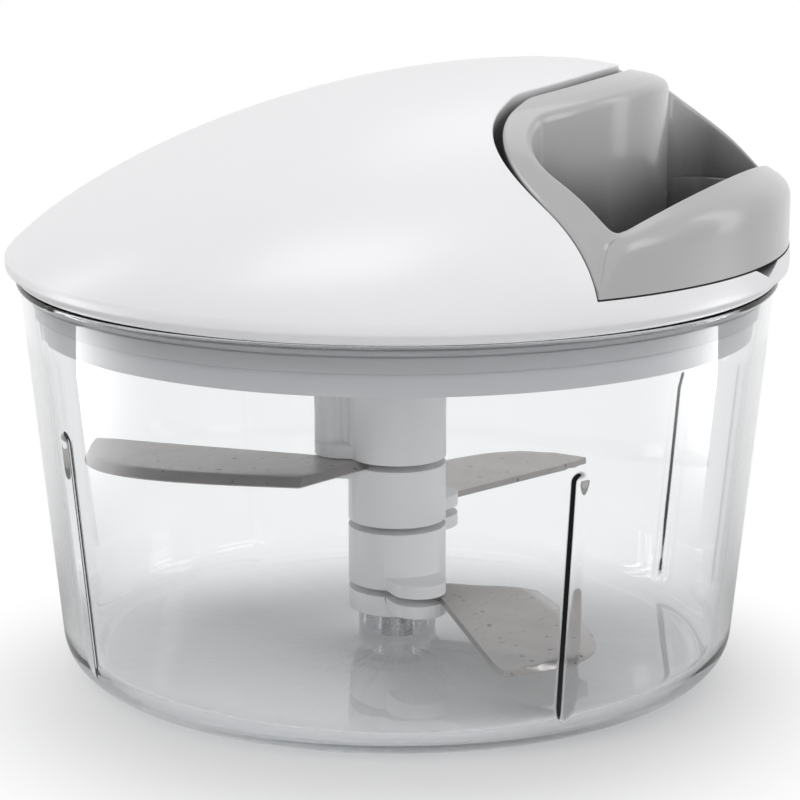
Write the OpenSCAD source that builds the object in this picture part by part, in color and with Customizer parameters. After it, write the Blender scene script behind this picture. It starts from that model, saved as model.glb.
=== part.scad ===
// Pull-string food chopper: a clear tapered bowl, three blades stacked on a
// turning stem, and a domed lid that holds a cord drum, a return spring and
// a loop handle. Origin at the centre of the bowl's base, +Z up, and +X the
// way the handle is pulled. Millimetres.

/* [Bowl] */
// Outer diameter of the bowl wall at the rim
bowl_rim_d = 133; // [128:0.5:140]
// Outer diameter that the wall would have at the table
bowl_foot_d = 119.4; // [114:0.2:124]
// Height of the bowl
bowl_h = 71; // [69:0.5:80]
// Thickness of the bowl wall
bowl_wall = 2.6; // [2:0.1:3]
// Thickness of the bowl floor
bowl_floor = 3.2; // [2.6:0.1:4]
// Outer radius of the bottom corner
bowl_corner_r = 7.5; // [6:0.5:9]
// How far the rim bead stands out from the wall
rim_bead_out = 0.5; // [0.3:0.1:0.8]
// Height of the rim bead
rim_bead_h = 1.2; // [1:0.1:2.5]
// Number of upright ribs inside the wall
rib_count = 4; // [2:1:6]
// Width of a rib
rib_w = 2.8; // [2:0.1:3.6]
// How far a rib stands in from the wall
rib_out = 1.4; // [1:0.1:1.8]
// Height of the rib tops above the table
rib_top = 46.6; // [40:0.2:52]
// Direction of the first rib, from +X
rib_start = 54; // [40:1:80]

/* [Blades] */
// Diameter of the steel pivot pin
pin_d = 6; // [5:0.1:7]
// Height of the pin's tip above the table
pin_top = 44; // [40:0.5:46]
// Height of the boss that holds the pin
pin_boss_h = 9; // [7:0.5:10]
// Radius of the boss that holds the pin
pin_boss_r = 7; // [6:0.5:9]
// Thickness of a blade
blade_t = 1.2; // [0.8:0.1:1.6]
// Width of a blade at its root
blade_w = 22.5; // [18:0.5:24]
// How far a blade's back edge lies behind the axis
blade_back = 4; // [3.5:0.5:8]
// Gap from a blade's tip to the bowl wall
blade_tip_gap = 2; // [1.5:0.25:6]
// Height of the lowest blade above the table
blade_z = 13; // [12:0.25:15]
// Height from one blade to the next
blade_pitch = 11.5; // [10:0.25:12]
// Direction of the top blade, from +X
blade_dir = 198; // [190:1:220]
// Radius of the stem's column
stem_r = 8.8; // [8.3:0.1:10]
// Reach of a blade's clamp boss from the axis
clamp_reach = 15; // [13:0.5:18]
// Width of a blade's clamp boss
clamp_w = 10; // [8:0.5:12]
// Height of a clamp boss on either side of its blade
clamp_h = 2.4; // [1.8:0.1:3]
// Height of the fin above the top blade
fin_h = 12; // [8:0.5:15]
// Thickness of the fin above the top blade
fin_t = 3.6; // [2.6:0.1:4]
// Radius of the round ribs on the fin
fin_rib_r = 2.5; // [2.2:0.1:3]

/* [Lid] */
// How far the lid's widest line stands out past the bowl
lid_overhang = 2.3; // [1.5:0.1:3.5]
// Height of the lid's widest line above the bowl rim
band_h = 3.8; // [3.2:0.1:5]
// Height of the lid's crown above the bowl rim
crown_h = 38.1; // [36.5:0.1:44]
// How far the crown lies from the axis, towards the handle
crown_x = 29.6; // [26:0.2:32]
// Wall of the lid's cover
cover_wall = 2.2; // [1.8:0.1:2.6]
// How far the lid's skirt hangs into the bowl
skirt_h = 8.7; // [8:0.1:10]
// Thickness of the skirt
skirt_t = 2.4; // [2:0.1:3]
// Gap from the skirt to the bowl wall at the skirt's foot
skirt_gap = 0.8; // [0.6:0.1:1.4]
// Thickness of the lid's inner plate
plate_t = 2; // [1.6:0.1:2.6]
// Gap from the stem's top up to the lid's plate
plate_gap = 1; // [0.6:0.1:1.6]
// Distance from the bowl rim down to the plate's underside
plate_drop = 5.5; // [5:0.1:6]

/* [Handle and recess] */
// Radius of the lid's round hub that the handle wraps
hub_r = 38.5; // [37.5:0.1:40]
// Where the recess begins at its corners, from the axis
recess_x = 32; // [31:0.2:34]
// Half width of the recess
recess_half_w = 41.2; // [39.5:0.1:43]
// Height of the recess floor above the bowl rim
recess_floor_h = 6; // [5.6:0.1:7]
// Thickness of the recess floor
recess_floor_t = 3; // [2.4:0.1:3]
// Thickness of the recess walls
recess_wall = 2; // [1.6:0.1:2.2]
// Radius of the recess corners in plan
recess_corner_r = 13; // [10:0.5:14]
// Gap from the hub to the handle
handle_gap = 1.7; // [1.6:0.1:3]
// Running gap of the handle at its sides and under it
handle_clear = 0.3; // [0.3:0.05:0.5]
// Thickness of the handle wall that holds the cord
anchor_wall = 7; // [6:0.1:10]
// Thickness of the handle behind the opening's back corners
corner_wall = 5; // [4.5:0.1:9]
// Thickness of the handle legs
leg_t = 5.2; // [4.5:0.1:8]
// Thickness of the grip at the front
grip_t = 5.6; // [4:0.1:7]
// Radius of the grip's inner side in plan
grip_bow_r = 76; // [68:1:90]
// Height of the grip's top above the recess floor
grip_h = 13.6; // [11:0.1:14]
// Rounding of the grip's outer edge
grip_edge_r = 5; // [3:0.25:6]
// Radius of the opening's back corners in plan
opening_corner_r = 6; // [4:0.5:8]
// Radius of the opening's front corners in plan
grip_corner_r = 2.5; // [1.5:0.25:4]
// Half width of the thumb notch under the grip
notch_half_w = 5.5; // [4:0.5:7]
// Depth of the thumb notch
notch_h = 2; // [1:0.1:2.2]

/* [Cord drive] */
// Diameter of the pull cord
cord_d = 1.8; // [1.4:0.1:2]
// Radius of the drum's core under the cord
drum_core_r = 14.1; // [12:0.1:15]
// Radius of the drum's flanges
drum_flange_r = 19.5; // [18.6:0.1:20.5]
// Thickness of a drum flange
drum_flange_t = 1.5; // [1.2:0.1:2]
// Height of the drum
drum_h = 14; // [13:0.25:15]
// Diameter of the drive shaft
shaft_d = 10; // [9:0.1:10.4]
// Diameter of the spring arbor on the shaft
arbor_d = 12; // [11.4:0.1:12.6]
// Width across the flats of the shaft's hexagonal end
hex_af = 8; // [7:0.1:8.6]
// Length of the shaft's hexagonal end
hex_h = 7; // [5:0.5:9]
// Inner radius of the spring cup
cup_r = 26; // [25:0.25:27]
// Thickness of the spring cup's wall
cup_wall = 2; // [1.6:0.1:2.4]
// Width of the spring strip
spring_h = 6.5; // [5:0.25:7]
// Thickness of the spring strip
spring_t = 0.5; // [0.3:0.05:0.8]
// Number of turns in the spring
spring_turns = 6; // [4:1:8]
// Thickness of the plate over the spring
spring_cover_t = 1.5; // [1.2:0.1:2]
// Wall of the drum housing
housing_wall = 2; // [1.6:0.1:2.4]
// Gap from the drum's flanges to the housing
housing_gap = 3; // [2:0.25:4]
// Outer radius of the eyelet's barrel
eyelet_r = 3.4; // [3.2:0.1:4]
// Bore radius of the eyelet
eyelet_bore_r = 2.2; // [2.1:0.05:2.4]
// Radius of the plug that holds the knot
plug_r = 3.5; // [3:0.1:4]

/* [Fasteners] */
// Radius of a screw's shank
screw_r = 1.5; // [1.25:0.05:1.6]
// Radius of a screw's head
screw_head_r = 2.8; // [2.6:0.1:3]
// Height of a screw's head
screw_head_h = 1.8; // [1.4:0.1:2]
// Radius of a screw boss
boss_r = 4; // [3.6:0.1:4.4]
// Distance of the cover's screws from the axis
cover_screw_at = 52; // [51:0.25:54]

/* [Hidden] */
$fn = 64;

// Clearances that several fits share
running_clear = 0.05;
seat_gap = 0.3;
screw_clear = 0.1;
socket_clear = 0.2;
cut = 0.5;

// Bowl wall: a straight taper from the foot to the rim
foot_r = bowl_foot_d / 2;
taper = (bowl_rim_d - bowl_foot_d) / 2 / bowl_h;
taper_deg = atan(taper);
wall_across = bowl_wall / cos(taper_deg);
function wall_r(z) = foot_r + taper * z;
function inner_r(z) = wall_r(z) - wall_across;
bowl_inner_corner_r = bowl_corner_r - bowl_wall;
pin_r = pin_d / 2;
pin_foot = bowl_floor + 0.8;
pin_tip_h = 1;

// Heights of the blade stack, from the boss up to the lid's plate
stem_foot_z = pin_boss_h + seat_gap;
blade_zs = [for (i = [0:2]) blade_z + i * blade_pitch];
blade_dirs = [for (i = [0:2]) blade_dir + 120 * (i - 2)];
plate_z = bowl_h - plate_drop;
stem_top = plate_z - plate_gap;
pin_bore_r = pin_r + running_clear;
pin_bore_top = pin_top + 1;
blade_root_x = clamp_reach - 1;
boss_root = pin_bore_r + 1.2;
boss_step = 0.1;
blade_steps = 14;
blade_belly = 3;
blade_tip_w = 1;
blade_root_half = 6.6;

// Lid heights and radii
lid_r = bowl_rim_d / 2 + lid_overhang;
seat_z = bowl_h + seat_gap;
band_z = bowl_h + band_h;
crown_z = bowl_h + crown_h;
band_r = bowl_rim_d / 2;
skirt_z = bowl_h - skirt_h;
skirt_r = inner_r(skirt_z) - skirt_gap;
plate_top = plate_z + plate_t;
flange_r = band_r - 2.1;
flange_t = 2;
seal_z = plate_z + 0.6;
seal_h = 3;
seal_depth = 1;
seal_r = inner_r(seal_z) - seat_gap;

// Dome profile, from the widest line up to the crown. Each meridian is a
// cubic curve: lean and lift set how it leaves the rim, and reach how flat
// it arrives at the crown. Values at the back and at the handle side.
dome_lean = [0.098, 0.001];
dome_lift = [0.299, 0.495];
dome_reach = [0.493, 0.547];
dome_sides = 64;
dome_rings = 12;

// Recess and handle
recess_z = bowl_h + recess_floor_h;
handle_z = recess_z + handle_clear;
handle_hub_r = hub_r + handle_gap;
handle_back_x = recess_x + 2;
handle_half_w = recess_half_w - handle_clear;
opening_hub_r = handle_hub_r + anchor_wall;
opening_back_x = handle_back_x + corner_wall;
opening_half_w = handle_half_w - leg_t;
opening_front_x = lid_r - grip_t;
grip_r = lid_r - 0.4;
grip_z = recess_z + grip_h;
grip_arch_r = 150;
opening_fillet_max = (opening_front_x - opening_hub_r) / 2 - cut;
opening_back_fillet_r = min(opening_corner_r, opening_fillet_max);
opening_front_fillet_r = min(grip_corner_r, opening_fillet_max);
prism_top = crown_z + 10;

// Heights of the drive, from the lid's plate up
bush_flange_h = 1;
bush_t = 2;
spring_z = plate_top + bush_flange_h + 0.4;
cup_top = spring_z + spring_h + 0.6;
spring_cover_top = cup_top + spring_cover_t;
washer_h = 0.5;
drum_z = spring_cover_top + washer_h + 0.1;
drum_top = drum_z + drum_h;
clip_h = 0.8;
clip_depth = 0.6;
clip_out = 2.5;
journal_r = 3;
housing_plate_z = drum_top + clip_h + 1.1;
housing_plate_t = 1.5;
housing_top = housing_plate_z + housing_plate_t;
housing_r = drum_flange_r + housing_gap;
shaft_r = shaft_d / 2;
arbor_r = arbor_d / 2;
hex_r = hex_af / 2 / cos(30);
shaft_foot = stem_top - 4.5;
hex_foot = shaft_foot - hex_h;
cover_hole_r = arbor_r + 1;

// Cord: wound at cord_r, it leaves the drum along the tangent to the eyelet
cord_r = drum_core_r + cord_d / 2;
cord_z = drum_top - drum_flange_t - 2 * cord_d;
leave_deg = -acos(cord_r / hub_r);
leave_free = sqrt(pow(cord_r + cord_d + 0.4, 2) - pow(cord_r, 2));
leave_step = [cos(leave_deg + 90), sin(leave_deg + 90)];
leave_point = cord_r * [cos(leave_deg), sin(leave_deg)];
cord_start = leave_point + leave_free * leave_step;
plug_x = handle_hub_r + 0.3;
plug_t = 1.6;
knot_x = plug_x + plug_t;
knot_t = 1.8;
knot_r = 2.2;
cord_sides = 8;
slot_w = 8;
slot_deg = leave_deg + acos(cord_r / housing_r);
wind_margin = 0.4;

// Screw places: the cover's four stand behind the recess
cover_screw_dirs = [100, 160, 200, 260];
housing_screw_dirs = [60, 180, 300];
housing_screw_at = cup_r + cup_wall + 1;
housing_lug_t = 1.5;

// Shared shapes

module tube(r_out, r_in, z_low, z_high) {
  translate([0, 0, z_low])
    difference() {
      cylinder(r = r_out, h = z_high - z_low);
      translate([0, 0, -cut]) cylinder(r = r_in, h = z_high - z_low + 2 * cut);
    }
}

module disc(r, z_low, z_high) {
  translate([0, 0, z_low]) cylinder(r = r, h = z_high - z_low);
}

module around(dirs, distance) {
  for (a = dirs) rotate([0, 0, a]) translate([distance, 0, 0]) children();
}

// Quarter-round of a vessel's bottom corner, tangent to its floor and its tapered wall
function corner_arc(base_r, r, z) =
  let (x = base_r - r / cos(taper_deg) + r * taper)
  [for (i = [0:6]) let (a = -90 + i * (90 - taper_deg) / 6) [x + r * cos(a), z + r + r * sin(a)]];

// A point on the dome: direction a, and t from the widest line (0) to the crown (1)
function mix(pair, k) = pair[0] + (pair[1] - pair[0]) * k;
function dome_point(a, t, inset) =
  let (k = (1 + cos(a)) / 2)
  let (q = 1 - t)
  let (s = q * q * q + 3 * q * q * t * (1 - mix(dome_lean, k)) + 3 * q * t * t * mix(dome_reach, k))
  let (w = 3 * q * q * t * mix(dome_lift, k) + 3 * q * t * t + t * t * t)
  let (r = lid_r - inset)
  [crown_x + (r * cos(a) - crown_x) * s, r * sin(a) * s, band_z + (crown_z - inset - band_z) * w];

function ring_point(a, r, z) = [r * cos(a), r * sin(a), z];

// Solid under the dome, from a foot ring up to the crown, drawn in by inset
module dome_solid(inset, foot_ring_r, foot_z) {
  dirs = [for (i = [0:dome_sides - 1]) i * 360 / dome_sides];
  rings = concat(
    [[for (a = dirs) ring_point(a, foot_ring_r, foot_z)]],
    [for (j = [0:dome_rings - 1]) [for (a = dirs) dome_point(a, j / dome_rings, inset)]]
  );
  ring_points = [for (ring = rings) each ring];
  crown = len(ring_points);
  points = concat(ring_points, [dome_point(0, 1, inset), [0, 0, foot_z]]);
  last = len(rings) - 1;
  sides = [
    for (j = [0:last - 1], i = [0:dome_sides - 1])
      let (n = (i + 1) % dome_sides)
      let (low = j * dome_sides)
      let (high = low + dome_sides)
      each [[low + i, high + i, high + n], [low + i, high + n, low + n]]
  ];
  caps = [
    for (i = [0:dome_sides - 1])
      let (n = (i + 1) % dome_sides)
      each [[crown, last * dome_sides + n, last * dome_sides + i], [crown + 1, i, n]]
  ];
  polyhedron(points = points, faces = concat(sides, caps), convexity = 6);
}

module outer_dome() dome_solid(0, band_r, seat_z);

// Joins a free-form moulding into one faceted skin, at the size it has
module moulded() resize([0, 0, 0]) children();

// Plan of the recess family: a rounded strip along +X with the round hub taken out
module strip_plan(back_x, half_w, around_r, corner_r) {
  blend = 4;
  offset(r = -blend) offset(delta = blend)
    difference() {
      hull()
        for (y = [-1, 1]) {
          translate([back_x + corner_r, y * (half_w - corner_r)]) circle(corner_r, $fn = 48);
          translate([lid_r, y * (half_w - 1)]) square(2, center = true);
        }
      circle(around_r, $fn = 128);
    }
}

module prism(z_low, z_high) {
  translate([0, 0, z_low]) linear_extrude(z_high - z_low) children();
}

// A tube of 8 sides along the x-y points of a level path
module level_cord(path, z, r) {
  count = len(path);
  steps = [for (i = [0:count - 1]) path[min(i + 1, count - 1)] - path[max(i - 1, 0)]];
  rings = [
    for (i = [0:count - 1], k = [0:cord_sides - 1])
      let (side = [-steps[i].y, steps[i].x] / norm(steps[i]))
      let (a = k * 360 / cord_sides)
      [path[i].x + r * cos(a) * side.x, path[i].y + r * cos(a) * side.y, z + r * sin(a)]
  ];
  walls = [
    for (i = [0:count - 2], k = [0:cord_sides - 1])
      let (n = (k + 1) % cord_sides)
      let (low = i * cord_sides)
      let (high = low + cord_sides)
      each [[low + k, low + n, high + n], [low + k, high + n, high + k]]
  ];
  first = [for (k = [0:cord_sides - 1]) cord_sides - 1 - k];
  last = [for (k = [0:cord_sides - 1]) (count - 1) * cord_sides + k];
  polyhedron(points = rings, faces = concat(walls, [first], [last]), convexity = 4);
}

module screw(tip_z, seat, head_up) {
  disc(screw_r, tip_z, seat);
  head_z = head_up ? seat : seat - screw_head_h;
  difference() {
    disc(screw_head_r, head_z, head_z + screw_head_h);
    slot_z = head_up ? head_z + screw_head_h : head_z;
    translate([0, 0, slot_z])
      for (a = [0, 90])
        rotate([0, 0, a]) cube([screw_head_r * 1.2, 0.6, screw_head_h], center = true);
  }
}

// Bowl

// Upright rib against the wall, with a round shoulder at its top
module rib() {
  root = bowl_wall / 2;
  bend = bowl_corner_r + 1;
  foot = bowl_floor - 1;
  shoulder = [
    for (i = [0:4])
      let (a = 180 - i * 22.5)
      [inner_r(rib_top) + rib_out * cos(a), rib_top + rib_out * sin(a)]
  ];
  rotate([90, 0, 0])
    translate([0, 0, -rib_w / 2])
      linear_extrude(rib_w)
        polygon(concat(
          [[inner_r(bend) + root, bend], [inner_r(foot) - rib_out / 2, foot], [inner_r(foot) - rib_out, foot]],
          shoulder,
          [[inner_r(rib_top) + root, rib_top + rib_out]]
        ));
}

module bowl() {
  rim_r = wall_r(bowl_h);
  outline = concat(
    [[0, 0]],
    corner_arc(foot_r, bowl_corner_r, 0),
    [
      [wall_r(bowl_h - rim_bead_h), bowl_h - rim_bead_h],
      [rim_r + rim_bead_out, bowl_h - rim_bead_h],
      [rim_r + rim_bead_out, bowl_h],
      [inner_r(bowl_h), bowl_h]
    ]
  );
  floor_line = corner_arc(inner_r(bowl_floor), bowl_inner_corner_r, bowl_floor);
  inside = [for (i = [len(floor_line) - 1:-1:0]) floor_line[i]];
  color([0.86, 0.90, 0.92, 0.35])
    difference() {
      union() {
        rotate_extrude() polygon(concat(outline, inside, [[0, bowl_floor]]));
        disc(pin_boss_r, bowl_floor - cut, pin_boss_h);
        for (i = [0:rib_count - 1])
          rotate([0, 0, rib_start + i * 360 / rib_count]) rib();
      }
      disc(pin_r, pin_foot, pin_boss_h + cut);
    }
}

module pivot_pin() {
  color("silver") {
    disc(pin_r, pin_foot, pin_top - pin_tip_h);
    translate([0, 0, pin_top - pin_tip_h]) cylinder(r1 = pin_r, r2 = pin_r - pin_tip_h, h = pin_tip_h);
  }
}

// Blades and stem

// Column with a clamp boss out along one direction
module clamp_boss(dir, z_low, z_high) {
  half = clamp_w / 2;
  end = [for (a = [-90:15:90]) [clamp_reach - half + half * cos(a), half * sin(a)]];
  rotate([0, 0, dir]) prism(z_low, z_high) polygon(concat([[boss_root, -half]], end, [[boss_root, half]]));
}

module pin_bore() {
  disc(pin_bore_r, stem_foot_z - cut, pin_bore_top);
}

module stem_section(z_low, z_high, dir_below, dir_above) {
  color([0.80, 0.80, 0.81])
    difference() {
      union() {
        disc(stem_r, z_low, z_high);
        clamp_boss(dir_below, z_low + boss_step, z_low + clamp_h);
        clamp_boss(dir_above, z_high - clamp_h, z_high - boss_step);
      }
      pin_bore();
    }
}

// Straight back, convex cutting edge on the side that leads when the cord is pulled
module blade(i) {
  tip = inner_r(blade_zs[i]) - rib_out - blade_tip_gap;
  edge = [
    for (k = [0:blade_steps])
      let (u = k / blade_steps)
      [
        blade_root_x + (tip - blade_root_x) * u,
        blade_tip_w - blade_back + (blade_w - blade_tip_w) * pow(1 - pow(u, blade_belly), 1 / blade_belly)
      ]
  ];
  root = [[boss_root, blade_root_half], [boss_root, -blade_back]];
  color([0.65, 0.62, 0.62])
    rotate([0, 0, blade_dirs[i]])
      prism(blade_zs[i], blade_zs[i] + blade_t)
        difference() {
          union() {
            circle(stem_r - 0.6);
            polygon(concat(root, [[tip, -blade_back]], [for (k = [blade_steps:-1:0]) edge[k]]));
          }
          circle(pin_bore_r);
        }
}

module stem_foot() {
  color([0.80, 0.80, 0.81])
    difference() {
      union() {
        disc(stem_r, stem_foot_z, blade_zs[0]);
        clamp_boss(blade_dirs[0], blade_zs[0] - clamp_h, blade_zs[0] - boss_step);
      }
      pin_bore();
    }
}

module lower_blade() blade(0);
module middle_blade() blade(1);
module upper_blade() blade(2);
module stem_lower() stem_section(blade_zs[0] + blade_t, blade_zs[1], blade_dirs[0], blade_dirs[1]);
module stem_upper() stem_section(blade_zs[1] + blade_t, blade_zs[2], blade_dirs[1], blade_dirs[2]);

module stem_head() {
  z_low = blade_zs[2] + blade_t;
  color([0.80, 0.80, 0.81])
    difference() {
      union() {
        disc(stem_r, z_low, stem_top);
        clamp_boss(blade_dirs[2], z_low + boss_step, z_low + clamp_h);
        rotate([0, 0, blade_dirs[2]]) {
          translate([boss_root, -fin_t / 2, z_low + 2 * boss_step])
            cube([clamp_reach - fin_rib_r - boss_root, fin_t, fin_h - boss_step]);
          for (x = [stem_r - 0.4, clamp_reach - fin_rib_r])
            translate([x, 0, z_low + 2 * boss_step]) cylinder(r = fin_rib_r, h = fin_h);
        }
      }
      pin_bore();
      translate([0, 0, hex_foot - 1])
        rotate([0, 0, 30]) cylinder(r = hex_r + socket_clear, h = stem_top - hex_foot + 1 + cut, $fn = 6);
      disc(shaft_r + socket_clear, shaft_foot - 0.4, stem_top + cut);
    }
}

// Lid shells

module lid_base() {
  color([0.78, 0.78, 0.80])
    difference() {
      union() {
        difference() {
          tube(skirt_r, skirt_r - skirt_t, skirt_z, seat_z + flange_t);
          around(cover_screw_dirs, cover_screw_at) disc(screw_head_r + screw_clear, skirt_z - cut, plate_z);
        }
        tube(flange_r, skirt_r - skirt_t, seat_z, seat_z + flange_t);
        disc(skirt_r - skirt_t + cut, plate_z, plate_top);
        tube(cup_r + cup_wall, cup_r, plate_top - cut, cup_top);
        around(cover_screw_dirs, cover_screw_at) disc(boss_r, plate_top - cut, seat_z + flange_t);
        around(housing_screw_dirs, housing_screw_at) disc(boss_r - 0.8, plate_top - cut, cup_top);
      }
      tube(skirt_r + cut, skirt_r - seal_depth, seal_z, seal_z + seal_h);
      disc(shaft_r + bush_t, plate_z - cut, plate_top + cut);
      around(cover_screw_dirs, cover_screw_at) disc(screw_r, plate_z - cut, seat_z + flange_t + cut);
      around(housing_screw_dirs, housing_screw_at) disc(screw_r, plate_top + 1, cup_top + cut);
      disc(cup_r, plate_top, cup_top + cut);
    }
}

module seal_ring() {
  color([0.62, 0.63, 0.65])
    tube(seal_r, skirt_r - seal_depth, seal_z, seal_z + seal_h);
}

module lid_cover() {
  inner_foot_r = flange_r + seat_gap;
  color([0.92, 0.92, 0.93])
    moulded() difference() {
      union() {
        difference() {
          outer_dome();
          dome_solid(cover_wall, inner_foot_r, seat_z - cut);
        }
        intersection() {
          outer_dome();
          union() {
            prism(recess_z - recess_floor_t, prism_top)
              offset(delta = recess_wall) strip_plan(recess_x, recess_half_w, hub_r, recess_corner_r);
            around(cover_screw_dirs, cover_screw_at) disc(boss_r, seat_z + flange_t, prism_top);
          }
        }
      }
      prism(recess_z, prism_top) strip_plan(recess_x, recess_half_w, hub_r, recess_corner_r);
      around(cover_screw_dirs, cover_screw_at)
        disc(screw_r + screw_clear, seat_z + flange_t - cut, seat_z + flange_t + 6);
      translate([hub_r - 2 * recess_wall, 0, cord_z])
        rotate([0, 90, 0]) cylinder(r = eyelet_r + screw_clear, h = 4 * recess_wall);
      translate([lid_r - 6, 0, recess_z])
        rotate([90, 0, 90]) linear_extrude(12)
          polygon([[-notch_half_w, 0.01], [0, -notch_h], [notch_half_w, 0.01]]);
    }
}

module cover_screws() {
  color("silver")
    around(cover_screw_dirs, cover_screw_at) mirror([0, 0, 1]) screw(-seat_z - flange_t - 5, -plate_z, true);
}

// Drive inside the lid

module shaft_bush() {
  color([0.86, 0.84, 0.78])
    difference() {
      union() {
        disc(shaft_r + bush_t, plate_z, plate_top);
        disc(shaft_r + 2 * bush_t, plate_top, plate_top + bush_flange_h);
      }
      disc(shaft_r + running_clear, plate_z - cut, plate_top + bush_flange_h + cut);
    }
}

// Flat strip wound as a spiral from the arbor out to the cup
module recoil_spring() {
  first_r = arbor_r + seat_gap + spring_t;
  last_r = cup_r - 0.1;
  steps = 24 * spring_turns;
  function spiral_r(i) = first_r + (last_r - first_r) * i / steps;
  outside = [for (i = [0:steps]) spiral_r(i) * [cos(15 * i), sin(15 * i)]];
  inside = [for (i = [steps:-1:0]) (spiral_r(i) - spring_t) * [cos(15 * i), sin(15 * i)]];
  color([0.55, 0.56, 0.58])
    prism(spring_z, spring_z + spring_h) polygon(concat(outside, inside));
}

module spring_cover() {
  color([0.70, 0.70, 0.72])
    difference() {
      union() {
        disc(cup_r + cup_wall, cup_top, spring_cover_top);
        around(housing_screw_dirs, housing_screw_at) disc(boss_r - 0.8, cup_top, spring_cover_top);
      }
      disc(cover_hole_r, cup_top - cut, spring_cover_top + cut);
      around(housing_screw_dirs, housing_screw_at) disc(screw_r + screw_clear, cup_top - cut, spring_cover_top + cut);
    }
}

module drum_housing() {
  color([0.74, 0.74, 0.76])
    difference() {
      union() {
        disc(housing_r + housing_wall, spring_cover_top, housing_top);
        difference() {
          union() {
            disc(cup_r + cup_wall, spring_cover_top, spring_cover_top + housing_lug_t);
            around(housing_screw_dirs, housing_screw_at)
              disc(boss_r - 0.8, spring_cover_top, spring_cover_top + housing_lug_t);
          }
          around(housing_screw_dirs, housing_screw_at)
            disc(screw_r + screw_clear, spring_cover_top - cut, spring_cover_top + housing_lug_t + cut);
        }
      }
      disc(housing_r, spring_cover_top - cut, housing_plate_z);
      disc(journal_r + running_clear, housing_plate_z - cut, housing_top + cut);
      rotate([0, 0, slot_deg])
        translate([housing_r, 0, cord_z]) cube([6 * housing_wall, slot_w, 3 * cord_d], center = true);
    }
}

module housing_screws() {
  color("silver")
    around(housing_screw_dirs, housing_screw_at)
      screw(plate_top + 2, spring_cover_top + housing_lug_t, true);
}

module cord_eyelet() {
  color("silver")
    translate([0, 0, cord_z])
      rotate([0, 90, 0])
        difference() {
          union() {
            disc(eyelet_r, hub_r - recess_wall - 0.2, hub_r + 0.2);
            disc(eyelet_r + 1.2, hub_r + 0.1, hub_r + 1.1);
          }
          disc(eyelet_bore_r, hub_r - 2 * recess_wall, hub_r + 2);
        }
}

module thrust_washer() {
  color([0.85, 0.83, 0.76])
    tube(arbor_r + 4, arbor_r + 0.3, spring_cover_top, spring_cover_top + washer_h);
}

module drive_shaft() {
  clip_z = drum_top;
  color([0.60, 0.61, 0.63]) {
    difference() {
      union() {
        disc(shaft_r, shaft_foot, drum_top + clip_h + 0.4);
        disc(arbor_r, plate_top + bush_flange_h + 0.1, drum_z);
        disc(journal_r, drum_top, housing_top - 0.3);
        translate([0, 0, hex_foot]) rotate([0, 0, 30]) cylinder(r = hex_r, h = hex_h + cut, $fn = 6);
      }
      tube(shaft_r + cut, shaft_r - clip_depth, clip_z, clip_z + clip_h);
    }
  }
}

module cord_drum() {
  color([0.82, 0.82, 0.84])
    difference() {
      union() {
        disc(drum_flange_r, drum_z, drum_z + drum_flange_t);
        disc(drum_core_r, drum_z, drum_top);
        disc(drum_flange_r, drum_top - drum_flange_t, drum_top);
      }
      disc(shaft_r, drum_z - cut, drum_top + cut);
    }
}

module retaining_clip() {
  color("silver")
    difference() {
      tube(shaft_r + clip_out, shaft_r - clip_depth, drum_top, drum_top + clip_h);
      translate([0, -1.5, drum_top - cut]) cube([shaft_r + clip_out + cut, 3, clip_h + 2 * cut]);
    }
}

// The cord's turns on the drum, as the sleeve that they fill
module cord_winding() {
  color([0.93, 0.93, 0.91])
    tube(
      drum_core_r + cord_d, drum_core_r,
      drum_z + drum_flange_t + wind_margin, drum_top - drum_flange_t - wind_margin
    );
}

// Handle

// Full front of the grip: a rounded bar round the front, arched and sloped towards its ends
module grip_bar() {
  intersection() {
    rotate_extrude($fn = 160)
      union() {
        translate([opening_hub_r, recess_z]) square([grip_r - grip_edge_r - opening_hub_r, grip_h]);
        translate([opening_hub_r, recess_z]) square([grip_r - opening_hub_r, grip_h - grip_edge_r]);
        translate([grip_r - grip_edge_r, grip_z - grip_edge_r]) circle(grip_edge_r, $fn = 32);
      }
    rotate([90, 0, 90])
      linear_extrude(height = lid_r)
        intersection() {
          translate([0, grip_z - grip_arch_r]) circle(grip_arch_r, $fn = 240);
          polygon([
            [handle_half_w, recess_z], [opening_half_w, grip_z],
            [-opening_half_w, grip_z], [-handle_half_w, recess_z]
          ]);
        }
  }
}

module pull_handle() {
  color([0.66, 0.66, 0.67])
    moulded() difference() {
      intersection() {
        union() {
          outer_dome();
          grip_bar();
        }
        prism(handle_z, prism_top)
          strip_plan(handle_back_x, handle_half_w, handle_hub_r, recess_corner_r - 1);
      }
      prism(handle_z - cut, prism_top)
        offset(r = opening_front_fillet_r) offset(delta = -opening_front_fillet_r)
          intersection() {
            strip_plan(opening_back_x, opening_half_w, opening_hub_r, opening_back_fillet_r);
            translate([opening_front_x - grip_bow_r, 0]) circle(grip_bow_r, $fn = 128);
          }
      translate([handle_hub_r - 2, 0, cord_z])
        rotate([0, 90, 0]) cylinder(r = plug_r + screw_clear, h = knot_x + knot_t + 0.2 - handle_hub_r + 2);
    }
}

module cord_plug() {
  color([0.50, 0.50, 0.52])
    translate([0, 0, cord_z])
      rotate([0, 90, 0]) tube(plug_r, cord_d / 2 + 0.2, plug_x, knot_x);
}

module cord_knot() {
  color([0.93, 0.93, 0.91])
    translate([knot_x, 0, cord_z])
      rotate([0, 90, 0])
        rotate_extrude()
          polygon([
            [0, 0], [knot_r * 0.75, 0], [knot_r, knot_t * 0.3], [knot_r, knot_t * 0.7],
            [knot_r * 0.75, knot_t], [0, knot_t]
          ]);
}

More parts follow.
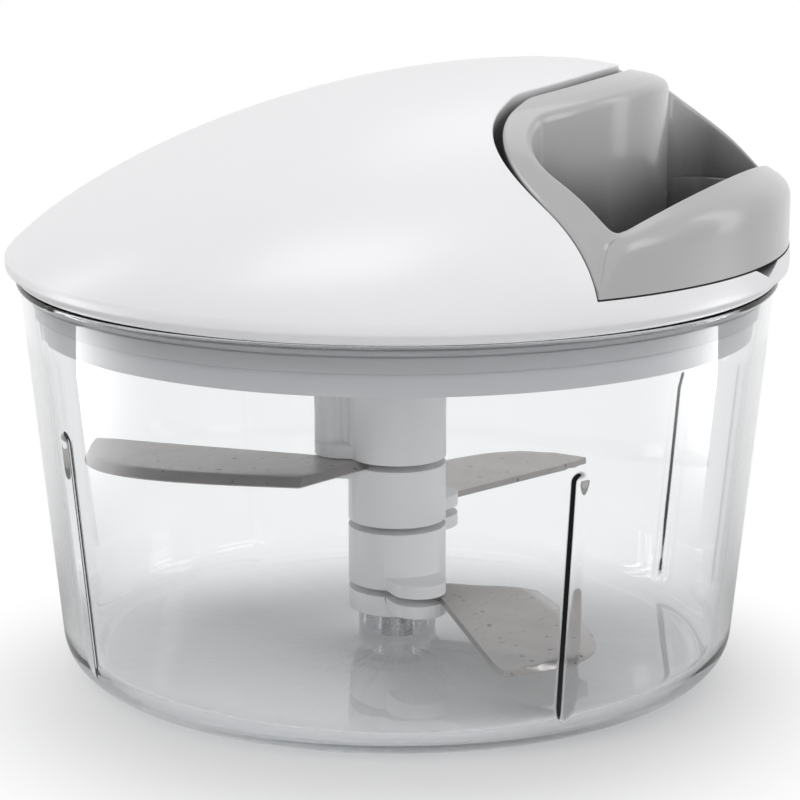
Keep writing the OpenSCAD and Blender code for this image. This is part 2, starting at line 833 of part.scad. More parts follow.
module pull_cord() {
  eyelet = [hub_r, 0];
  path = concat(
    [for (u = [0:0.25:1]) cord_start + (eyelet - cord_start) * u * 0.96],
    [eyelet + [0.6, -0.1], [(eyelet.x + knot_x) / 2, 0], [knot_x, 0]]
  );
  color([0.93, 0.93, 0.91]) level_cord(path, cord_z, cord_d / 2);
}

bowl();
pivot_pin();
stem_foot();
lower_blade();
stem_lower();
middle_blade();
stem_upper();
upper_blade();
stem_head();
lid_base();
seal_ring();
lid_cover();
cover_screws();
shaft_bush();
recoil_spring();
spring_cover();
drum_housing();
housing_screws();
cord_eyelet();
thrust_washer();
drive_shaft();
cord_drum();
retaining_clip();
cord_winding();
pull_handle();
cord_plug();
cord_knot();
pull_cord();
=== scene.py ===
"""Finished surfaces of a pull-string food chopper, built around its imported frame.

Metres, +Z up, +X the way of the pull.
"""

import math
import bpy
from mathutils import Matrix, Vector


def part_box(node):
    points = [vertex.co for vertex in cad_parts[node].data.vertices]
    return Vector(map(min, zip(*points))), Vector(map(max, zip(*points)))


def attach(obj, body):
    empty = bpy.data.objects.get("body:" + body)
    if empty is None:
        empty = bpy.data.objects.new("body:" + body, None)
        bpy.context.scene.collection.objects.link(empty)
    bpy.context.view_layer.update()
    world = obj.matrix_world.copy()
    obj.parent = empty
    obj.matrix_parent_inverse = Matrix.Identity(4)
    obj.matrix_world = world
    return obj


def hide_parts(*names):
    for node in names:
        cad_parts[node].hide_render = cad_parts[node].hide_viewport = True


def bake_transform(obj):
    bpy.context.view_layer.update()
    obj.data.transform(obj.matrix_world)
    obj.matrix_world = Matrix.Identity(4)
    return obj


bl_info = {
    "name": "Pull-string food chopper",
    "version": (1, 0, 0),
    "blender": (4, 5, 0),
    "location": "3D View > Sidebar > Chopper",
    "description": "Builds the finished surfaces of a pull-string food chopper around its frame",
    "category": "Add Mesh",
}

import bmesh
import bpy
import numpy as np
from bpy.props import FloatProperty, FloatVectorProperty, IntProperty, PointerProperty
from mathutils import Matrix, Vector

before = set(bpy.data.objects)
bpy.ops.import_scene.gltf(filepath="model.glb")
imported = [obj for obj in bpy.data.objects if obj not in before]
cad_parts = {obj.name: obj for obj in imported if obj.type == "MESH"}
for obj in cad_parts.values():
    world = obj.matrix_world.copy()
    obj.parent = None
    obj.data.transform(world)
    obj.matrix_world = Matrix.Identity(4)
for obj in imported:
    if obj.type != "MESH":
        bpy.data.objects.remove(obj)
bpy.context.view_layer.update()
MM = 0.001

BOWL_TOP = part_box("bowl")[1].z
LID_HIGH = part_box("lid_cover")[1]
LID_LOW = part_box("lid_cover")[0]
HANDLE_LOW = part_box("pull_handle")[0]
HANDLE_HIGH_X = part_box("pull_handle")[1].x
CORD_Z = (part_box("cord_plug")[0].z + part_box("cord_plug")[1].z) / 2


def length(name, value, words):
    """A size that a user would change, in metres."""
    return FloatProperty(name=name, description=words, default=value, unit="LENGTH", precision=5)


def colour(name, value, words):
    """A colour that a user would change, as linear light."""
    return FloatVectorProperty(
        name=name, description=words, default=value, subtype="COLOR", size=3, min=0.0, max=1.0
    )


def bearing(name, degrees, words):
    """A direction that a user would change."""
    return FloatProperty(name=name, description=words, default=math.radians(degrees), subtype="ANGLE")


class BowlSizes(bpy.types.PropertyGroup):
    """Sizes of the clear bowl."""

    height: length("Height", BOWL_TOP, "Table to rim")
    rim_r: length("Rim radius", 66.5 * MM, "Outside of the wall at the rim")
    foot_r: length("Foot radius", 59.7 * MM, "Outside of the wall carried down to the table")
    wall: length("Wall", 2.6 * MM, "Thickness of the wall")
    floor: length("Floor", 3.2 * MM, "Thickness of the floor")
    corner_r: length("Corner", 7.5 * MM, "Outer radius of the bottom corner")
    bead_out: length("Bead", 0.5 * MM, "How far the rim bead stands out")
    bead_h: length("Bead height", 1.2 * MM, "Height of the rim bead")
    rib_r: length("Rib radius", 1.4 * MM, "Radius of a rib's solid, which its soft ridge follows")
    rib_top: length("Rib top", 46.6 * MM, "Height of the ribs above the table")
    rib_count: IntProperty(name="Ribs", description="Number of upright ribs", default=4, min=0)
    rib_start: bearing("First rib", 54, "Direction of the first rib")
    boss_r: length("Boss radius", 7 * MM, "Radius of the pivot boss")
    boss_h: length("Boss height", 9 * MM, "Height of the pivot boss above the table")


class LidSizes(bpy.types.PropertyGroup):
    """Sizes of the lid's domed cover and its recess."""

    radius: length("Radius", LID_HIGH.y, "Radius of the widest line")
    band_z: length("Widest line", BOWL_TOP + 3.8 * MM, "Height of the widest line above the table")
    crown_z: length("Crown", LID_HIGH.z, "Height of the crown above the table")
    crown_x: length("Crown offset", 29.6 * MM, "How far the crown lies from the axis")
    seat_z: length("Seat", LID_LOW.z, "Underside of the cover")
    band_r: length("Foot radius", 66.6 * MM, "Radius of the cover's lower edge")
    hub_r: length("Hub", 38.5 * MM, "Radius of the round hub that the handle wraps")
    recess_x: length("Recess start", 32 * MM, "Where the recess begins at its corners")
    recess_half_w: length("Recess half width", 41.2 * MM, "Half width of the recess")
    recess_z: length("Recess floor", BOWL_TOP + 6 * MM, "Height of the recess floor")
    recess_corner_r: length("Recess corner", 13 * MM, "Corner radius of the recess in plan")
    edge_r: length("Recess edge", 0.3 * MM, "Rounding of the recess edge")
    notch_half_w: length("Notch half width", 5.5 * MM, "Half width of the thumb notch")
    notch_h: length("Notch depth", 2 * MM, "Depth of the thumb notch")
    skin: length("Skin", 0.2 * MM, "Thickness of the visible skin")


class HandleSizes(bpy.types.PropertyGroup):
    """Sizes of the loop handle."""

    floor_z: length("Underside", HANDLE_LOW.z, "Underside of the handle")
    hub_r: length("Hub side", 40.2 * MM, "Radius of the handle's hub side")
    back_x: length("Start", 34 * MM, "Where the handle begins at its corners")
    half_w: length("Half width", 40.9 * MM, "Half width of the handle")
    corner_r: length("Corner", 12 * MM, "Outer corner radius in plan")
    open_hub_r: length("Opening hub side", 47.2 * MM, "Radius of the opening's hub side")
    open_x: length("Opening start", 39 * MM, "Where the opening begins at its corners")
    open_half_w: length("Opening half width", 35.7 * MM, "Half width of the opening")
    open_front_x: length("Opening front", 63.2 * MM, "How far from the axis the opening reaches")
    open_bow_r: length("Grip bow", 88 * MM, "Radius of the grip's inner side in plan")
    open_corner_r: length("Opening corner", 6 * MM, "Radius of the opening's back corners in plan")
    open_front_corner_r: length("Grip corner", 2.2 * MM, "Radius of the opening's front corners in plan")
    edge_r: length("Outer edge", 0.6 * MM, "Rounding of the handle's outer edge")
    front_r: length("Front edge", 4.4 * MM, "Rounding of the grip's outer edge at the front")
    lip_r: length("Front lip", 0.5 * MM, "Rounding of the opening at the grip")
    shoulder_r: length("Hub lip", 1.2 * MM, "Rounding of the opening at the hub side")
    grip_r: length("Grip radius", HANDLE_HIGH_X, "How far from the axis the grip reaches")
    grip_z: length("Grip top", BOWL_TOP + 19.6 * MM, "Height of the grip's top above the table")
    grip_arch_r: length("Grip arch", 150 * MM, "Radius of the grip's top seen from the front")
    rise: length("Loop rise", 0.6 * MM, "How far the loop stands up out of the dome")
    step_z: length("Ledge", 85.3 * MM, "Height of the small ledge inside the opening")
    step_w: length("Ledge width", 0.7 * MM, "Width of the small ledge inside the opening")


class BladeSizes(bpy.types.PropertyGroup):
    """Sizes of the blades."""

    width: length("Width", 25 * MM, "Greatest width of a blade")
    back: length("Back", 3.6 * MM, "How far the back edge lies behind the axis near the tip")
    heel: length("Heel", 2.8 * MM, "How far the back edge lies before the axis at the clamp")
    root_x: length("Root", 4.3 * MM, "Where a blade begins, from the axis")
    root_half: length("Root half width", 6.6 * MM, "Half width of the blade where it is clamped")
    belly_x: length("Belly", 14 * MM, "Where the cutting edge begins to curve")
    bevel: length("Bevel", 3.4 * MM, "Width of the ground cutting edge")
    edge_t: length("Edge", 0.2 * MM, "Thickness left at the cutting edge")
    first_dir: bearing("Top blade", 198, "Direction of the top blade")
    belly: FloatProperty(name="Fullness", description="How full the blade's end is", default=3.2)


class CordSizes(bpy.types.PropertyGroup):
    """Sizes of the pull cord."""

    diameter: length("Diameter", 1.8 * MM, "Diameter of the cord")
    wound_r: length("Wound radius", 15 * MM, "Radius of the cord's centre line on the drum")
    level: length("Level", CORD_Z, "Height of the cord's run to the handle")
    turns: FloatProperty(name="Turns", description="Turns of cord on the drum", default=4.0)


class Finishes(bpy.types.PropertyGroup):
    """Colours of the chopper and its stage."""

    cover: colour("Cover", (0.80, 0.80, 0.815), "White plastic of the lid")
    handle: colour("Handle", (0.42, 0.42, 0.425), "Grey plastic of the handle")
    stem: colour("Stem", (0.88, 0.88, 0.885), "Light grey plastic of the stem")
    base: colour("Lid base", (0.56, 0.57, 0.585), "Grey plastic of the lid's base")
    drive: colour("Drive", (0.60, 0.59, 0.55), "Plastic of the drum and bushes")
    clear: colour("Bowl", (0.985, 0.99, 0.992), "Tint of the clear bowl")
    blade: colour("Blades", (0.41, 0.39, 0.38), "Steel of the blades")
    steel: colour("Bright steel", (0.62, 0.62, 0.63), "Steel of the pin, shaft and screws")
    rubber: colour("Seal", (0.47, 0.475, 0.49), "Rubber of the seal")
    cord: colour("Cord", (0.80, 0.80, 0.77), "Fibre of the cord")
    floor: colour("Floor", (0.80, 0.80, 0.80), "Pale studio floor")


# Meshes


def grid_faces(rows, cols, wrap_rows=False, wrap_cols=False):
    """Quads of a grid whose points are numbered row by row."""
    row_ends = rows if wrap_rows else rows - 1
    col_ends = cols if wrap_cols else cols - 1
    faces = []
    for i in range(row_ends):
        for j in range(col_ends):
            below = (i + 1) % rows
            beside = (j + 1) % cols
            faces.append((i * cols + j, i * cols + beside, below * cols + beside, below * cols + j))
    return faces


def add_piece(name, points, faces, crease=40.0):
    """A smooth-shaded mesh object, welded, with its normals turned outwards."""
    mesh = bpy.data.meshes.new(name)
    mesh.from_pydata([tuple(p) for p in np.asarray(points, float).reshape(-1, 3)], [], faces)
    work = bmesh.new()
    work.from_mesh(mesh)
    bmesh.ops.remove_doubles(work, verts=work.verts, dist=2e-6)
    bmesh.ops.dissolve_degenerate(work, edges=work.edges, dist=1e-7)
    bmesh.ops.recalc_face_normals(work, faces=work.faces)
    work.to_mesh(mesh)
    work.free()
    mesh.shade_smooth()
    mesh.set_sharp_from_angle(angle=math.radians(crease))
    piece = bpy.data.objects.new(name, mesh)
    bpy.context.scene.collection.objects.link(piece)
    return piece


def apply_modifiers(piece):
    """Writes the piece's modifiers into its mesh."""
    graph = bpy.context.evaluated_depsgraph_get()
    made = bpy.data.meshes.new_from_object(piece.evaluated_get(graph))
    piece.modifiers.clear()
    piece.data = made


def dress(piece, body, node, material):
    """Puts a new piece on its body, in place of the CAD node it stands for."""
    piece.data.materials.clear()
    piece.data.materials.append(material)
    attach(piece, body)
    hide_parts(node)


def dress_node(node, material, edge=0.0):
    """Gives a CAD node its material and, where edge is set, softly rounded edges."""
    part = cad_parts[node]
    part.data.materials.clear()
    part.data.materials.append(material)
    if edge:
        weld = part.modifiers.new("Weld", "WELD")
        weld.merge_threshold = 1e-6
        bevel = part.modifiers.new("Edge", "BEVEL")
        bevel.width = edge
        bevel.segments = 3
        bevel.limit_method = "ANGLE"
        bevel.angle_limit = math.radians(35)
        bevel.harden_normals = True


# Outlines in plan


def arc(centre, radius, start, end, count):
    """Points of an arc in plan, in radians, without its end point."""
    a = np.linspace(start, end, count, endpoint=False)
    return np.stack([centre[0] + radius * np.cos(a), centre[1] + radius * np.sin(a)], 1)


def line(start, end, count):
    """Points of a straight line in plan, without its end point."""
    u = np.linspace(0, 1, count, endpoint=False)[:, None]
    return np.asarray(start) * (1 - u) + np.asarray(end) * u


def back_half(front_x, half_w, back_x, hub_r, corner_r):
    """Half an outline of the recess family: along the side, round the corner and along the hub."""
    meet_y = math.sqrt(hub_r**2 - back_x**2)
    meet = math.atan2(meet_y, back_x)
    corner = (back_x + corner_r, half_w - corner_r)
    return np.concatenate(
        [
            line((front_x, half_w), (corner[0], half_w), 30),
            arc(corner, corner_r, math.pi / 2, math.pi, 20),
            line((back_x, corner[1]), (back_x, meet_y), 10),
            arc((0, 0), hub_r, meet, 0, 34),
            [[hub_r, 0]],
        ]
    )


def loop(front_x, bow_r, front_corner_r, half_w, back_x, hub_r, corner_r):
    """Closed outline of the handle family, from the front's middle round by +Y."""
    corner_y = half_w - front_corner_r
    bow_x = front_x - bow_r
    bow_to_corner = math.sqrt((bow_r - front_corner_r) ** 2 - corner_y**2)
    corner_x = bow_x + bow_to_corner
    turn = math.atan2(corner_y, bow_to_corner)
    half = np.concatenate(
        [
            arc((bow_x, 0), bow_r, 0, turn, 56),
            arc((corner_x, corner_y), front_corner_r, turn, math.pi / 2, 12),
            back_half(corner_x, half_w, back_x, hub_r, corner_r),
        ]
    )
    other = half[-2:0:-1] * [1, -1]
    return np.concatenate([half, other])


def soften(points, passes, closed):
    """Averages neighbours, so that an outline's stretches flow into each other."""
    points = points.copy()
    for _ in range(passes):
        near = (np.roll(points, 1, 0) + np.roll(points, -1, 0)) / 2
        moved = (points + near) / 2
        if not closed:
            moved[0] = points[0]
            moved[-1] = points[-1]
        points = moved
    return points


def side_of(points, closed):
    """Unit vectors to the right of the way that an outline runs."""
    if closed:
        step = np.roll(points, -1, 0) - np.roll(points, 1, 0)
    else:
        step = np.gradient(points, axis=0)
    step /= np.linalg.norm(step, axis=1)[:, None]
    return np.stack([step[:, 1], -step[:, 0]], 1)


# The dome


# Shape of the dome's meridians, at the back and at the handle's side
DOME_LEAN = (0.098, 0.001)
DOME_LIFT = (0.299, 0.495)
DOME_REACH = (0.493, 0.547)
# Steps of a search by halving
HALVINGS = 40


def between(pair, k):
    """A value between two, by a share."""
    return pair[0] + (pair[1] - pair[0]) * k


def dome_height(xy, lid):
    """Height of the dome over points in plan.

    Each meridian is a cubic curve from the widest line to the crown.
    """
    ray = xy - np.array([lid.crown_x, 0])
    reach = np.maximum((ray**2).sum(1), 1e-12)
    along = ray[:, 0] * lid.crown_x
    grow = (-along + np.sqrt(along**2 + reach * (lid.radius**2 - lid.crown_x**2))) / reach
    share = np.clip(1 / grow, 0, 1)
    face = (1 + (lid.crown_x + ray[:, 0] * grow) / lid.radius) / 2
    lean = between(DOME_LEAN, face)
    lift = between(DOME_LIFT, face)
    level = between(DOME_REACH, face)
    low = np.zeros(len(xy))
    high = np.ones(len(xy))
    for _ in range(HALVINGS):
        t = (low + high) / 2
        q = 1 - t
        spread = q**3 + 3 * q * q * t * (1 - lean) + 3 * q * t * t * level
        low = np.where(spread > share, t, low)
        high = np.where(spread > share, high, t)
    t = (low + high) / 2
    q = 1 - t
    rise = 3 * q * q * t * lift + 3 * q * t * t + t**3
    return lid.band_z + (lid.crown_z - lid.band_z) * rise


def radius_at(angles, height, lid):
    """How far from the axis the dome comes down to a height, in each direction near the front."""
    low = np.full(len(angles), lid.radius * 0.6)
    high = np.full(len(angles), lid.radius)
    way = np.stack([np.cos(angles), np.sin(angles)], 1)
    for _ in range(HALVINGS):
        r = (low + high) / 2
        above = dome_height(way * r[:, None], lid) > height
        low = np.where(above, r, low)
        high = np.where(above, high, r)
    return (low + high) / 2


def lifted(xy, z):
    """Points in plan, set at a height."""
    return np.concatenate([xy, np.broadcast_to(z, len(xy))[:, None]], 1)


FILLET_STEPS = np.radians(np.arange(0, 91, 15))


def fillet_rows(edge, inward, radius, top_of):
    """Quarter-round from a wall on to a top surface, row by row."""
    rows = []
    for turn in FILLET_STEPS:
        xy = edge + inward * (radius * (1 - math.cos(turn)))[:, None]
        rows.append(lifted(xy, top_of(xy) - radius * (1 - math.sin(turn))))
    return rows


def smooth(share):
    """Eases a share in and out between 0 and 1."""
    share = np.clip(share, 0, 1)
    return share * share * (3 - 2 * share)


def rim_rows(angles, lid):
    """The cover's rolled rim and the sloped band under it."""
    crease_z = lid.band_z - 1.9 * MM
    profile = [
        (lid.radius, lid.band_z),
        (lid.radius, lid.band_z - 0.7 * MM),
        (lid.radius - 0.06 * MM, lid.band_z - 1.4 * MM),
        (lid.radius - 0.15 * MM, crease_z + 0.12 * MM),
        (lid.radius - 0.25 * MM, crease_z),
        (lid.band_r + 0.35 * MM, lid.seat_z + 0.42 * MM),
        (lid.band_r + 0.3 * MM, lid.seat_z + 0.3 * MM),
        (lid.band_r + 0.3 * MM, lid.seat_z),
        (lid.band_r - 1.8 * MM, lid.seat_z),
    ]
    way = np.stack([np.cos(angles), np.sin(angles)], 1)
    return [lifted(way * r, z) for r, z in profile]


def recess_front(lid):
    """How far forward the recess's side wall runs before the dome comes down to its floor."""
    low = lid.radius * 0.5
    high = lid.radius
    for _ in range(HALVINGS):
        x = (low + high) / 2
        if dome_height(np.array([[x, lid.recess_half_w]]), lid)[0] > lid.recess_z:
            low = x
        else:
            high = x
    return (low + high) / 2


# Share of a wall's height that its rounded edge may take
EDGE_SHARE = 0.6
# Rows across a surface lie closer together towards its outer side
ROW_EASE = 1.6
COVER_PASSES = 10
DOME_ROWS = 50
RECESS_ROWS = 24
NOTCH_REACH = 6 * MM


def build_cover(lid):
    """The lid's cover: dome, recess walls and floor, ledge with its thumb notch, and rolled rim."""
    front_x = recess_front(lid)
    half = back_half(front_x, lid.recess_half_w, lid.recess_x, lid.hub_r, lid.recess_corner_r)
    edge = soften(np.concatenate([half, half[-2::-1] * [1, -1]]), COVER_PASSES, False)
    outward = side_of(edge, False)
    walk = np.concatenate([[0], np.cumsum(np.linalg.norm(np.diff(edge, axis=0), axis=1))])
    walk /= walk[-1]
    first = math.atan2(edge[0, 1], edge[0, 0])
    top = dome_height(edge, lid)
    edge_r = np.minimum(lid.edge_r, EDGE_SHARE * np.maximum(top - lid.recess_z, 0))
    rows = [lifted(edge, lid.recess_z + (top - edge_r - lid.recess_z) * u) for u in (0, 0.3, 0.6)]
    rows += fillet_rows(edge, outward, edge_r, lambda xy: dome_height(xy, lid))
    inner = edge + outward * edge_r[:, None]
    angles = first + (2 * math.pi - 2 * first) * walk
    rim = np.stack([np.cos(angles), np.sin(angles)], 1) * lid.radius
    shares = (1 - np.cos(np.linspace(0, math.pi, DOME_ROWS)[1:-1])) / 2
    for t in shares:
        xy = inner * (1 - t) + rim * t
        rows.append(lifted(xy, dome_height(xy, lid)))
    rows += rim_rows(angles, lid)
    shell = np.array(rows)
    faces = grid_faces(len(rows), len(edge))

    front = first * (1 - 2 * walk)
    ledge = radius_at(front, lid.recess_z, lid)
    notch = lid.notch_h * np.clip(1 - np.abs(ledge * np.sin(front)) / lid.notch_half_w, 0, 1)
    ledge = radius_at(front, lid.recess_z - notch, lid)
    way = np.stack([np.cos(front), np.sin(front)], 1)
    lip = way * ledge[:, None]
    cut_x = lid.radius - NOTCH_REACH
    floor_rows = []
    for t in 1 - np.linspace(1, 0, RECESS_ROWS) ** ROW_EASE:
        xy = edge * (1 - t) + lip * t
        dip = np.clip((xy[:, 0] - cut_x) / MM, 0, 1)
        floor_rows.append(lifted(xy, lid.recess_z - notch * dip))
    for t in shares:
        xy = way * (ledge * (1 - t) + lid.radius * t)[:, None]
        floor_rows.append(lifted(xy, dome_height(xy, lid)))
    floor_rows += rim_rows(front, lid)
    start = len(rows) * len(edge)
    for face in grid_faces(len(floor_rows), len(edge)):
        faces.append(tuple(start + i for i in face))
    points = np.concatenate([shell.reshape(-1, 3), np.array(floor_rows).reshape(-1, 3)])
    cover = add_piece("cover_shell", points, faces, crease=32)
    thick = cover.modifiers.new("Skin", "SOLIDIFY")
    thick.thickness = lid.skin
    thick.offset = -1
    apply_modifiers(cover)
    return cover


# How the loop rises out of the dome and runs into the arched bar of the grip
RISE_RAMP = 5 * MM
RISE_END_R = 63 * MM
RISE_FADE = 21 * MM
BAR_END_GAP = 1.4 * MM
BAR_SOFT = 2.5 * MM
LOOP_BLEND = 3.2 * MM
BLEND_DROP = 0.3 * MM


def handle_height(xy, handle, lid):
    """Height of the handle's top: the dome, a little raised round the loop, and the grip's arched bar."""
    reach = np.linalg.norm(xy, axis=1)
    across = np.minimum(np.abs(xy[:, 1]), handle.half_w)
    from_side = handle.half_w - across
    raised = smooth((reach - handle.hub_r) / RISE_RAMP)
    raised *= smooth(from_side / RISE_RAMP)
    raised *= smooth((RISE_END_R - reach) / RISE_FADE)
    loop_z = dome_height(xy, lid) + handle.rise * raised
    arch_z = handle.grip_z - handle.grip_arch_r + np.sqrt(handle.grip_arch_r**2 - across**2)
    end_w = handle.half_w - handle.open_half_w - BAR_END_GAP
    end_z = lid.recess_z + (handle.grip_z - lid.recess_z) * from_side / end_w
    bar_z = (arch_z + end_z - np.hypot(arch_z - end_z, BAR_SOFT)) / 2
    return (loop_z + bar_z + np.hypot(loop_z - bar_z, LOOP_BLEND)) / 2 - BLEND_DROP


# Insets at tight corners: the least step that is left along the line, and how an inset shrinks to keep it
FOLD_TRIES = 60
FOLD_STEP = 0.05
FOLD_SHRINK = 0.97
FOLD_NEIGHBOURS = range(-2, 4)


def unfolded(outline, inward, inset):
    """Smaller insets where a tight corner would make the inset line run back over itself."""
    inset = inset.copy()
    along = np.roll(outline, -1, axis=0) - outline
    for _ in range(FOLD_TRIES):
        inset_line = outline + inward * inset[:, None]
        steps = np.roll(inset_line, -1, axis=0) - inset_line
        folded = (steps * along).sum(1) < FOLD_STEP * (along**2).sum(1)
        if not folded.any():
            break
        for shift in FOLD_NEIGHBOURS:
            inset[np.roll(folded, shift)] *= FOLD_SHRINK
    return inset


HANDLE_PASSES = 6
FRONT_CORNER_R = 0.6 * MM
# Where the opening's rounding grows to the hub's, and where the outer edge's grows to the front's
SHOULDER_END_X = 60 * MM
SHOULDER_RAMP = 14 * MM
FRONT_START_X = 52 * MM
FRONT_RAMP = 10 * MM
# What is left between the two roundings on the grip's top, and the least rounding
LIP_GAP = 0.4 * MM
LEAST_EDGE_R = 0.3 * MM
LEDGE_DROP = 0.3 * MM
LEDGE_LEAN = 0.2
LOOP_ROWS = 20
WALL_ROWS = 6


def build_handle(handle, lid):
    """The loop handle: its top follows the dome, with rounded edges round the loop and the opening."""
    outer = loop(
        lid.radius, lid.radius, FRONT_CORNER_R, handle.half_w, handle.back_x, handle.hub_r, handle.corner_r
    )
    outer = soften(outer, HANDLE_PASSES, True)
    angles = np.arctan2(outer[:, 1], outer[:, 0])
    limit = np.minimum(radius_at(angles, handle.floor_z, lid), handle.grip_r)
    reach = np.linalg.norm(outer, axis=1)
    outer *= np.minimum(1, limit / reach)[:, None]
    hole = loop(
        handle.open_front_x,
        handle.open_bow_r,
        handle.open_front_corner_r,
        handle.open_half_w,
        handle.open_x,
        handle.open_hub_r,
        handle.open_corner_r,
    )
    hole = soften(hole, HANDLE_PASSES, True)
    out_of_hole = side_of(hole, True)
    into_loop = -side_of(outer, True)
    hub_share = np.clip((SHOULDER_END_X - hole[:, 0]) / SHOULDER_RAMP, 0, 1)
    hole_r = handle.lip_r + (handle.shoulder_r - handle.lip_r) * hub_share

    def top_of(xy):
        return handle_height(xy, handle, lid)

    at_front = smooth((outer[:, 0] - FRONT_START_X) / FRONT_RAMP)
    edge_r = handle.edge_r + (handle.front_r - handle.edge_r) * at_front
    edge_r = np.minimum(edge_r, EDGE_SHARE * np.maximum(top_of(outer) - handle.floor_z, 0))
    to_hole = np.linalg.norm(outer[:, None] - hole, axis=2).min(1)
    room = to_hole - handle.lip_r - LIP_GAP
    edge_r = np.minimum(edge_r, np.maximum(room, LEAST_EDGE_R))
    edge_r = unfolded(outer, into_loop, edge_r)
    hole_top = top_of(hole) - hole_r
    outer_top = top_of(outer) - edge_r
    ledge = (handle.step_w * out_of_hole[:, 1] ** 2)[:, None]
    narrow = hole - out_of_hole * ledge
    rows = [lifted(narrow, handle.floor_z), lifted(narrow, handle.step_z - LEDGE_DROP)]
    rows.append(lifted(narrow + out_of_hole * ledge * LEDGE_LEAN, handle.step_z))
    rows.append(lifted(hole, handle.step_z))
    for u in np.linspace(0.15, 1, WALL_ROWS, endpoint=False):
        rows.append(lifted(hole, handle.step_z + np.maximum(hole_top - handle.step_z, 0) * u))
    rows += fillet_rows(hole, out_of_hole, hole_r, top_of)
    inner_line = hole + out_of_hole * hole_r[:, None]
    outer_line = outer + into_loop * edge_r[:, None]
    for u in np.linspace(0, 1, LOOP_ROWS)[1:-1]:
        t = 1 - (1 - u) ** ROW_EASE
        xy = inner_line * (1 - t) + outer_line * t
        rows.append(lifted(xy, top_of(xy)))
    rows += fillet_rows(outer, into_loop, edge_r, top_of)[::-1]
    for u in np.linspace(0, 1, WALL_ROWS)[1:]:
        rows.append(lifted(outer, outer_top + (handle.floor_z - outer_top) * u))
    faces = grid_faces(len(rows), len(outer), True, True)
    return add_piece("handle_loop", np.array(rows), faces, crease=65)


# The bowl


def corner_profile(base_r, radius, z, slope, count):
    """Quarter-round of a vessel's bottom corner, tangent to its floor and its tapered wall."""
    lean = math.atan(slope)
    x = base_r - radius / math.cos(lean) + radius * slope
    a = np.linspace(-math.pi / 2, -lean, count)
    return np.stack([x + radius * np.cos(a), z + radius + radius * np.sin(a)], 1)


RIM_ROUND_R = 0.35 * MM
WALL_SIDES = 160
# A rib's soft ridge, as shares of the radius of its solid, and the directions that follow it closely
RIB_SPREAD = 1.5
RIB_HEIGHT = 0.55
RIB_NEAR = np.radians(np.linspace(-2.6, 2.6, 27))


def build_bowl(bowl, pin_r, pin_foot):
    """The clear bowl: one closed wall, with a bead at its rim, soft ribs inside and a pivot boss."""
    slope = (bowl.rim_r - bowl.foot_r) / bowl.height
    across = bowl.wall / math.cos(math.atan(slope))
    inner_foot = bowl.foot_r - across
    bead_z = bowl.height - bowl.bead_h
    bead_r = bowl.rim_r + bowl.bead_out
    round_r = RIM_ROUND_R
    outside = np.concatenate(
        [
            [[0, 0], [0.02, 0]],
            corner_profile(bowl.foot_r, bowl.corner_r, 0, slope, 14),
            [[bowl.foot_r + slope * z, z] for z in np.linspace(bowl.corner_r, bead_z - 0.9 * MM, 8)[1:]],
            [
                [bowl.rim_r - 0.02 * MM, bead_z - 0.3 * MM],
                [bead_r - round_r, bead_z],
                [bead_r, bead_z + round_r],
                [bead_r, bowl.height - round_r],
                [bead_r - round_r, bowl.height],
                [bowl.rim_r - across + round_r, bowl.height],
                [bowl.rim_r - across, bowl.height - round_r],
            ],
        ]
    )
    rib_zs = bowl.rib_top + np.array([2.3, 2, 1.7, 1.4, 1.1, 0.8, 0.5, 0.2, 0, -0.6]) * MM
    wall_zs = np.concatenate(
        [
            np.linspace(bowl.height - 2 * MM, bowl.rib_top + 3 * MM, 8),
            rib_zs,
            np.linspace(bowl.rib_top - 2 * MM, bowl.floor + bowl.corner_r - bowl.wall + 0.5 * MM, 14),
        ]
    )
    wall = np.array([[inner_foot + slope * z, z] for z in wall_zs])
    inner_corner = corner_profile(
        inner_foot + slope * bowl.floor, bowl.corner_r - bowl.wall, bowl.floor, slope, 12
    )
    boss = [
        [bowl.boss_r + 1.2 * MM, bowl.floor],
        [bowl.boss_r + 0.3 * MM, bowl.floor + 0.3 * MM],
        [bowl.boss_r, bowl.floor + 1.2 * MM],
        [bowl.boss_r, bowl.boss_h - 0.4 * MM],
        [bowl.boss_r - 0.4 * MM, bowl.boss_h],
        [pin_r, bowl.boss_h],
        [pin_r, pin_foot],
        [0, pin_foot],
    ]
    inside = np.concatenate([wall, inner_corner[::-1], [[0.03, bowl.floor]], boss])
    profile = np.concatenate([outside, inside])
    rib_dirs = bowl.rib_start + np.arange(bowl.rib_count) * 2 * math.pi / max(bowl.rib_count, 1)
    all_round = np.linspace(-math.pi, math.pi, WALL_SIDES, endpoint=False)
    dirs = np.concatenate([all_round, (rib_dirs[:, None] + RIB_NEAR).ravel()])
    dirs = np.unique(np.round(np.mod(dirs + math.pi, 2 * math.pi), 5)) - math.pi
    off_rib = (dirs[:, None] - rib_dirs + math.pi) % (2 * math.pi) - math.pi
    far = np.abs(off_rib).min(1)
    first_inside = len(outside)
    rows = []
    for i, (r, z) in enumerate(profile):
        radii = np.full(len(dirs), r)
        if first_inside <= i < first_inside + len(wall) + len(inner_corner):
            line_r = inner_foot + slope * z
            up = max(0.0, z - bowl.rib_top)
            off = np.minimum(np.hypot(far * line_r, up) / (RIB_SPREAD * bowl.rib_r), 1)
            ribbed = line_r - RIB_HEIGHT * bowl.rib_r * np.cos(off * math.pi / 2) ** 2
            radii = np.where(off < 1, np.minimum(radii, ribbed), radii)
        rows.append(np.stack([radii * np.cos(dirs), radii * np.sin(dirs), np.full(len(dirs), z)], 1))
    faces = grid_faces(len(rows), len(dirs), False, True)
    return add_piece("bowl_body", np.array(rows), faces, crease=50)


# Blades and cord


BLADE_TIP_W = 1 * MM
HEEL_GAP = 1 * MM
